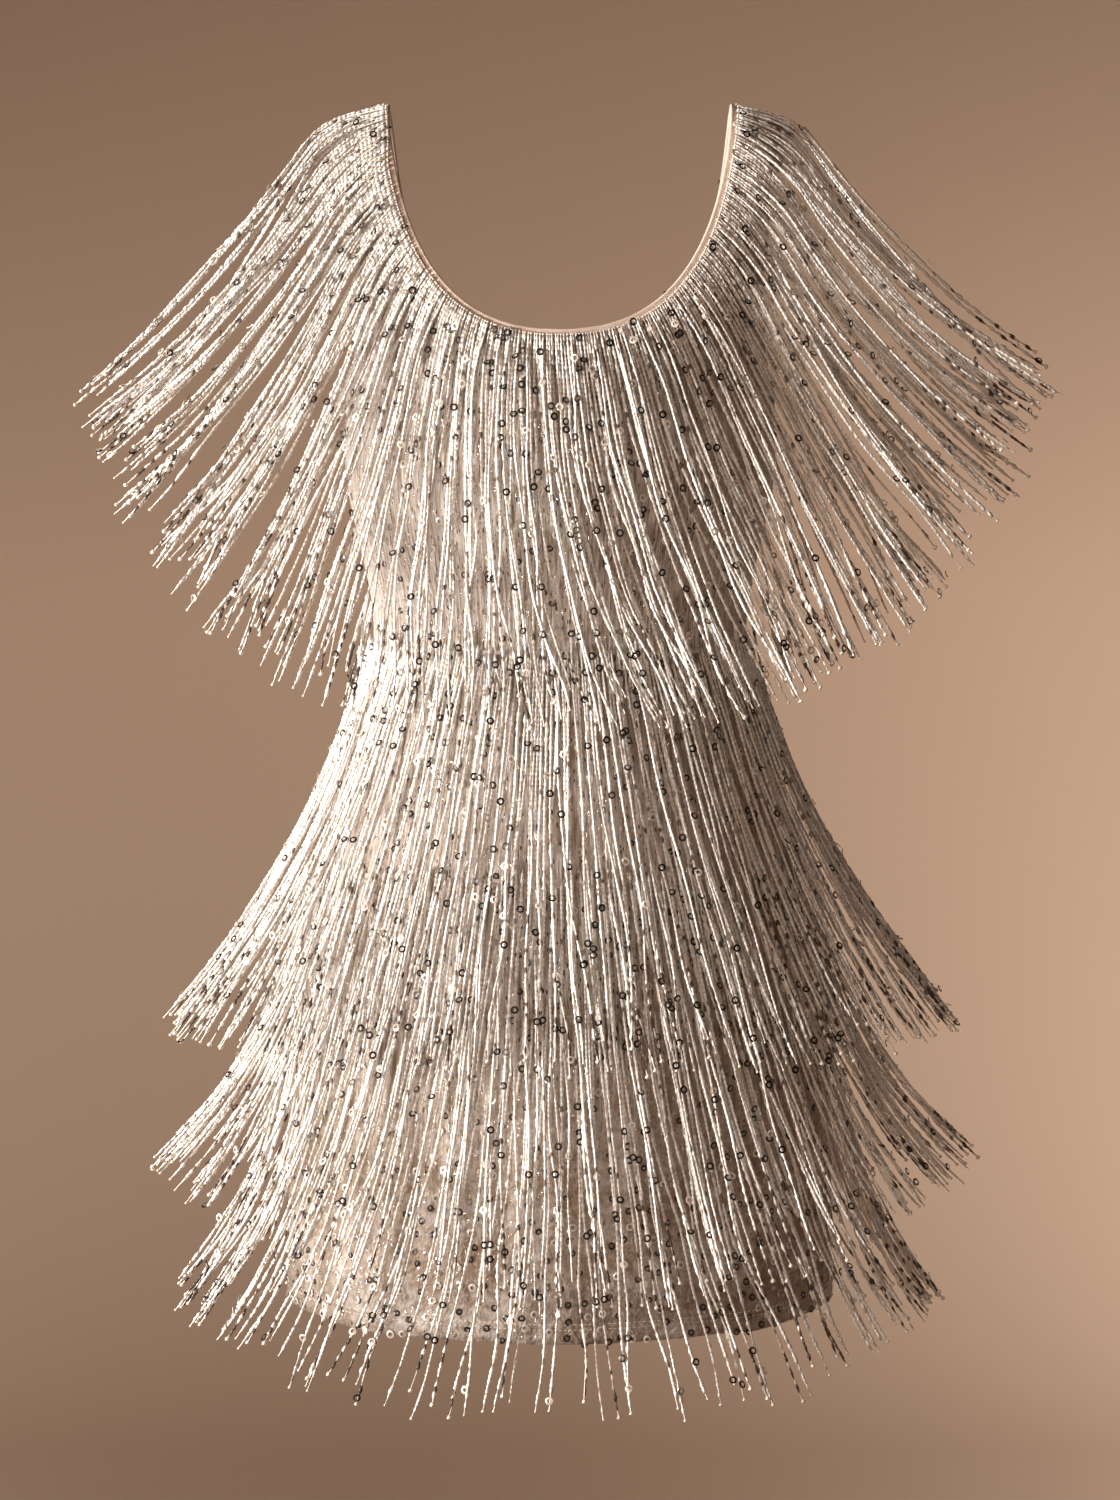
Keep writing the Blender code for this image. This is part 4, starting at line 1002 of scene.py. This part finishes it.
def strandLines(row, side, seed):  # every strand's path, and the way out from the dress along it
    rng = np.random.default_rng(seed)
    plan, look = strandPlan[row], strandScatter
    count, end = plan[side], neckShape["end"] if row == "neck" else rowShape["endAngle"]
    places = np.linspace(-end, end, count)
    if row != "neck":
        places = places - rowShape["evening"] * np.sin(2 * places)  # nearly even along the flatter cloth in front
    spacing = places[1] - places[0]
    places = np.clip(places + rng.uniform(-look["place"], look["place"], count) * spacing, -end, end)
    rise = rng.normal(0, 1, count) * bundles["stagger"]
    lengthen = look["longest"] - plan["shortest"] * rng.random(count) ** look["shortBias"]
    reachOut = 1 + rng.uniform(*look["reach"], count)
    free = smoothShare((np.abs(places) - bundles["from"]) / (bundles["to"] - bundles["from"])) * (row == "neck")
    centres, strength = clumpCentres(places, free, rng)
    if row == "neck":
        lines, middles = (neckLines(side, where, lengthen, reachOut) for where in (places, centres))
    else:
        lines, middles = (
            rowLines(fringeRows[row], side, where, lengthen, reachOut, rise) for where in (places, centres))
    t = np.linspace(0, 1, strandPoints)[None, :, None]
    grip = smoothShare(t / bundles["tightest"]) * (1 - bundles["loosen"] * smoothShare(
        (t - bundles["tightest"]) / (1 - bundles["tightest"])))
    pull = (plan["clump"] + (bundles["pull"] - plan["clump"]) * free) * strength
    lines = lines + (middles - lines) * pull[:, None, None] * grip
    outward = unit(lines * [1, 1.6, 0] + 1e-9)
    sideways = np.cross(outward, [0, 0, 1.0])
    crossing = rng.normal(0, 1, count) * bundles["cross"] * (0.35 + 0.65 * free)
    lines = lines + sideways * crossing[:, None, None] * t ** 4
    for direction, size in ((sideways, 1.0), (outward, 0.5)):
        sway = np.zeros((count, strandPoints, 1))
        for waves in look["swayWaves"]:
            phase = rng.uniform(0, 2 * math.pi, (count, 1, 1))
            swing = np.sin(2 * math.pi * waves * t + phase) - np.sin(phase)
            sway += rng.normal(0, 1 / (0.6 + waves), (count, 1, 1)) * swing
        if size < 1:
            sway = np.abs(sway)
        lines = lines + direction * sway * plan["wander"] * size * t ** 0.8
    surge = sum(np.sin(places / end * math.pi * waves + rng.uniform(0, 2 * math.pi)) / math.sqrt(waves)
                for waves in look["surgeWaves"])
    lines = lines + sideways * surge[:, None, None] * plan["surge"] / 2 * t ** 2
    over = np.where(rng.random(count) < overlay["share"], rng.uniform(overlay["low"], overlay["high"], count),
                    rng.uniform(0, overlay["rest"], count))[:, None, None]
    over = over * np.abs(outward[..., 1:2]) ** 0.7
    lines = lines + outward * over * smoothShare(t / 0.2) * (1 - 0.7 * t * t)
    return lines, outward, rng


def headerRibbon(row, side):  # the tape that carries the strands: outer and inner face, 3 mm tall
    inner, outer = ribbon["faces"]
    if row == "neck":
        place = np.linspace(-neckShape["end"], neckShape["end"], ribbon["stations"])
        top, low = [neckFrame(side, place, inset)[:2] for inset in ribbon["insets"]]
        edges = [point + normal * off for (point, normal), off in (
            (top, inner), (top, outer), (low, outer), (low, inner))]
    else:
        angle = np.linspace(-rowShape["endAngle"], rowShape["endAngle"], ribbon["stations"])
        level, (top, low) = fringeRows[row]["level"], ribbon["rises"]
        edges = [aroundPoint(side, angle, level + rise + 0 * angle, off + 0 * angle) for rise, off in (
            (top, inner), (top, outer), (low, outer), (low, inner))]
    return np.stack(edges, axis=1)


def makeFringe(row, side, tree, seed):
    lines, outward, rng = strandLines(row, side, seed)
    if row == "neck" and side == front:  # one short string lies along the top of each strap
        across = np.linspace(strapString["from"], strapString["to"], strandPoints)
        y, z = np.full_like(across, -strapString["forward"]), ridgeLevel(across) + strapString["lift"]
        for mirror in (1, -1):
            ridge = np.stack([mirror * across, y, z], axis=1)
            lines = np.concatenate([lines, ridge[None]])
            outward = np.concatenate([outward, np.tile([0.0, -0.6, 0.8], (1, len(across), 1))])
    look, (count, steps) = strandScatter, lines.shape[:2]
    heading = unit(np.gradient(lines, axis=1))
    beads = np.full((count, steps), strandPlan[row]["rootBead"])
    beads[:, steps // 2:] = rng.uniform(*look["tipBead"], (count, 1))
    twist = rng.uniform(-look["twist"], look["twist"], (count, 1))
    twist = twist + np.cumsum(rng.normal(0, look["twistStep"], (count, steps)), axis=1)
    header = headerRibbon(row, side)
    points = np.concatenate([lines.reshape(-1, 3), header.reshape(-1, 3)])
    edges = [(s * steps + k, s * steps + k + 1) for s in range(count) for k in range(steps - 1)]
    first, stations = count * steps, len(header)
    faces = []
    for r in range(stations - 1):
        for k in range(4):
            low, high, after = first + r * 4, first + (r + 1) * 4, (k + 1) % 4
            quad = [low + k, low + after, high + after, high + k]
            faces.append(quad if side == front else quad[::-1])
    faces += [[first + k for k in (3, 2, 1, 0)], [first + (stations - 1) * 4 + k for k in (0, 1, 2, 3)]]
    name = row + "Fringe" + sideNames[side]
    source = addPiece(name + "Source", meshOf(name, points, edges=edges, faces=faces))
    for label, kind, values in (("heading", "FLOAT_VECTOR", heading), ("outward", "FLOAT_VECTOR", outward),
                                ("along", "FLOAT", np.tile(np.linspace(0, 1, steps), count)),
                                ("twist", "FLOAT", twist), ("bead", "FLOAT", beads)):
        width = 3 if kind == "FLOAT_VECTOR" else 1
        onHeader = np.zeros((len(points) - first) * width)
        attribute = source.data.attributes.new(label, kind, "POINT")
        attribute.data.foreach_set(
            "vector" if width == 3 else "value", np.concatenate([values.reshape(-1), onHeader]))
    isHeader = np.arange(len(points)) >= first
    source.data.attributes.new("header", "BOOLEAN", "POINT").data.foreach_set("value", isHeader)
    return growPiece(name, source, tree, {**strandParts, "Seed": seed})


fringeTree = makeFringeTree()
fringes = {}
for k, row in enumerate(strandPlan):
    for side in (front, back):
        fringes[row, side] = makeFringe(row, side, fringeTree, 11 + 7 * k + side)  # each has its own seed
        print("fringe", row, sideNames[side], len(fringes[row, side].data.polygons), "faces")


# Every piece rides on the dress's one body, and the solids that it covers are hidden
panelNodes = {front: "front_panel", back: "back_panel"}
for side in (front, back):
    for piece, slotName in ((panels[side], "sequinned_mesh"), (rings[side], "sequinned_mesh")):
        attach(piece, "root")
    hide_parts(panelNodes[side])
for piece, slotName in ((neckTape, "binding"), (stitches, "binding")):
    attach(piece, "root")
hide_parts("neck_binding")
for (row, side), piece in fringes.items():
    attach(piece, "root")
    node = "neck_fringe" if row == "neck" else fringeRows[row]["node"]
    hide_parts(node + nodeSuffix[side])
for side in (front, back):
    goesWith = [rings[side]] + [fringes[row, side] for row in strandPlan]
    goesWith += [neckTape, stitches] if side == front else []

pieces = [*panels.values(), *rings.values(), neckTape, stitches, *fringes.values()]
triangles = {p.name: len(p.data.loops) - 2 * len(p.data.polygons) for p in pieces}
print("triangles:", sum(triangles.values()), triangles)
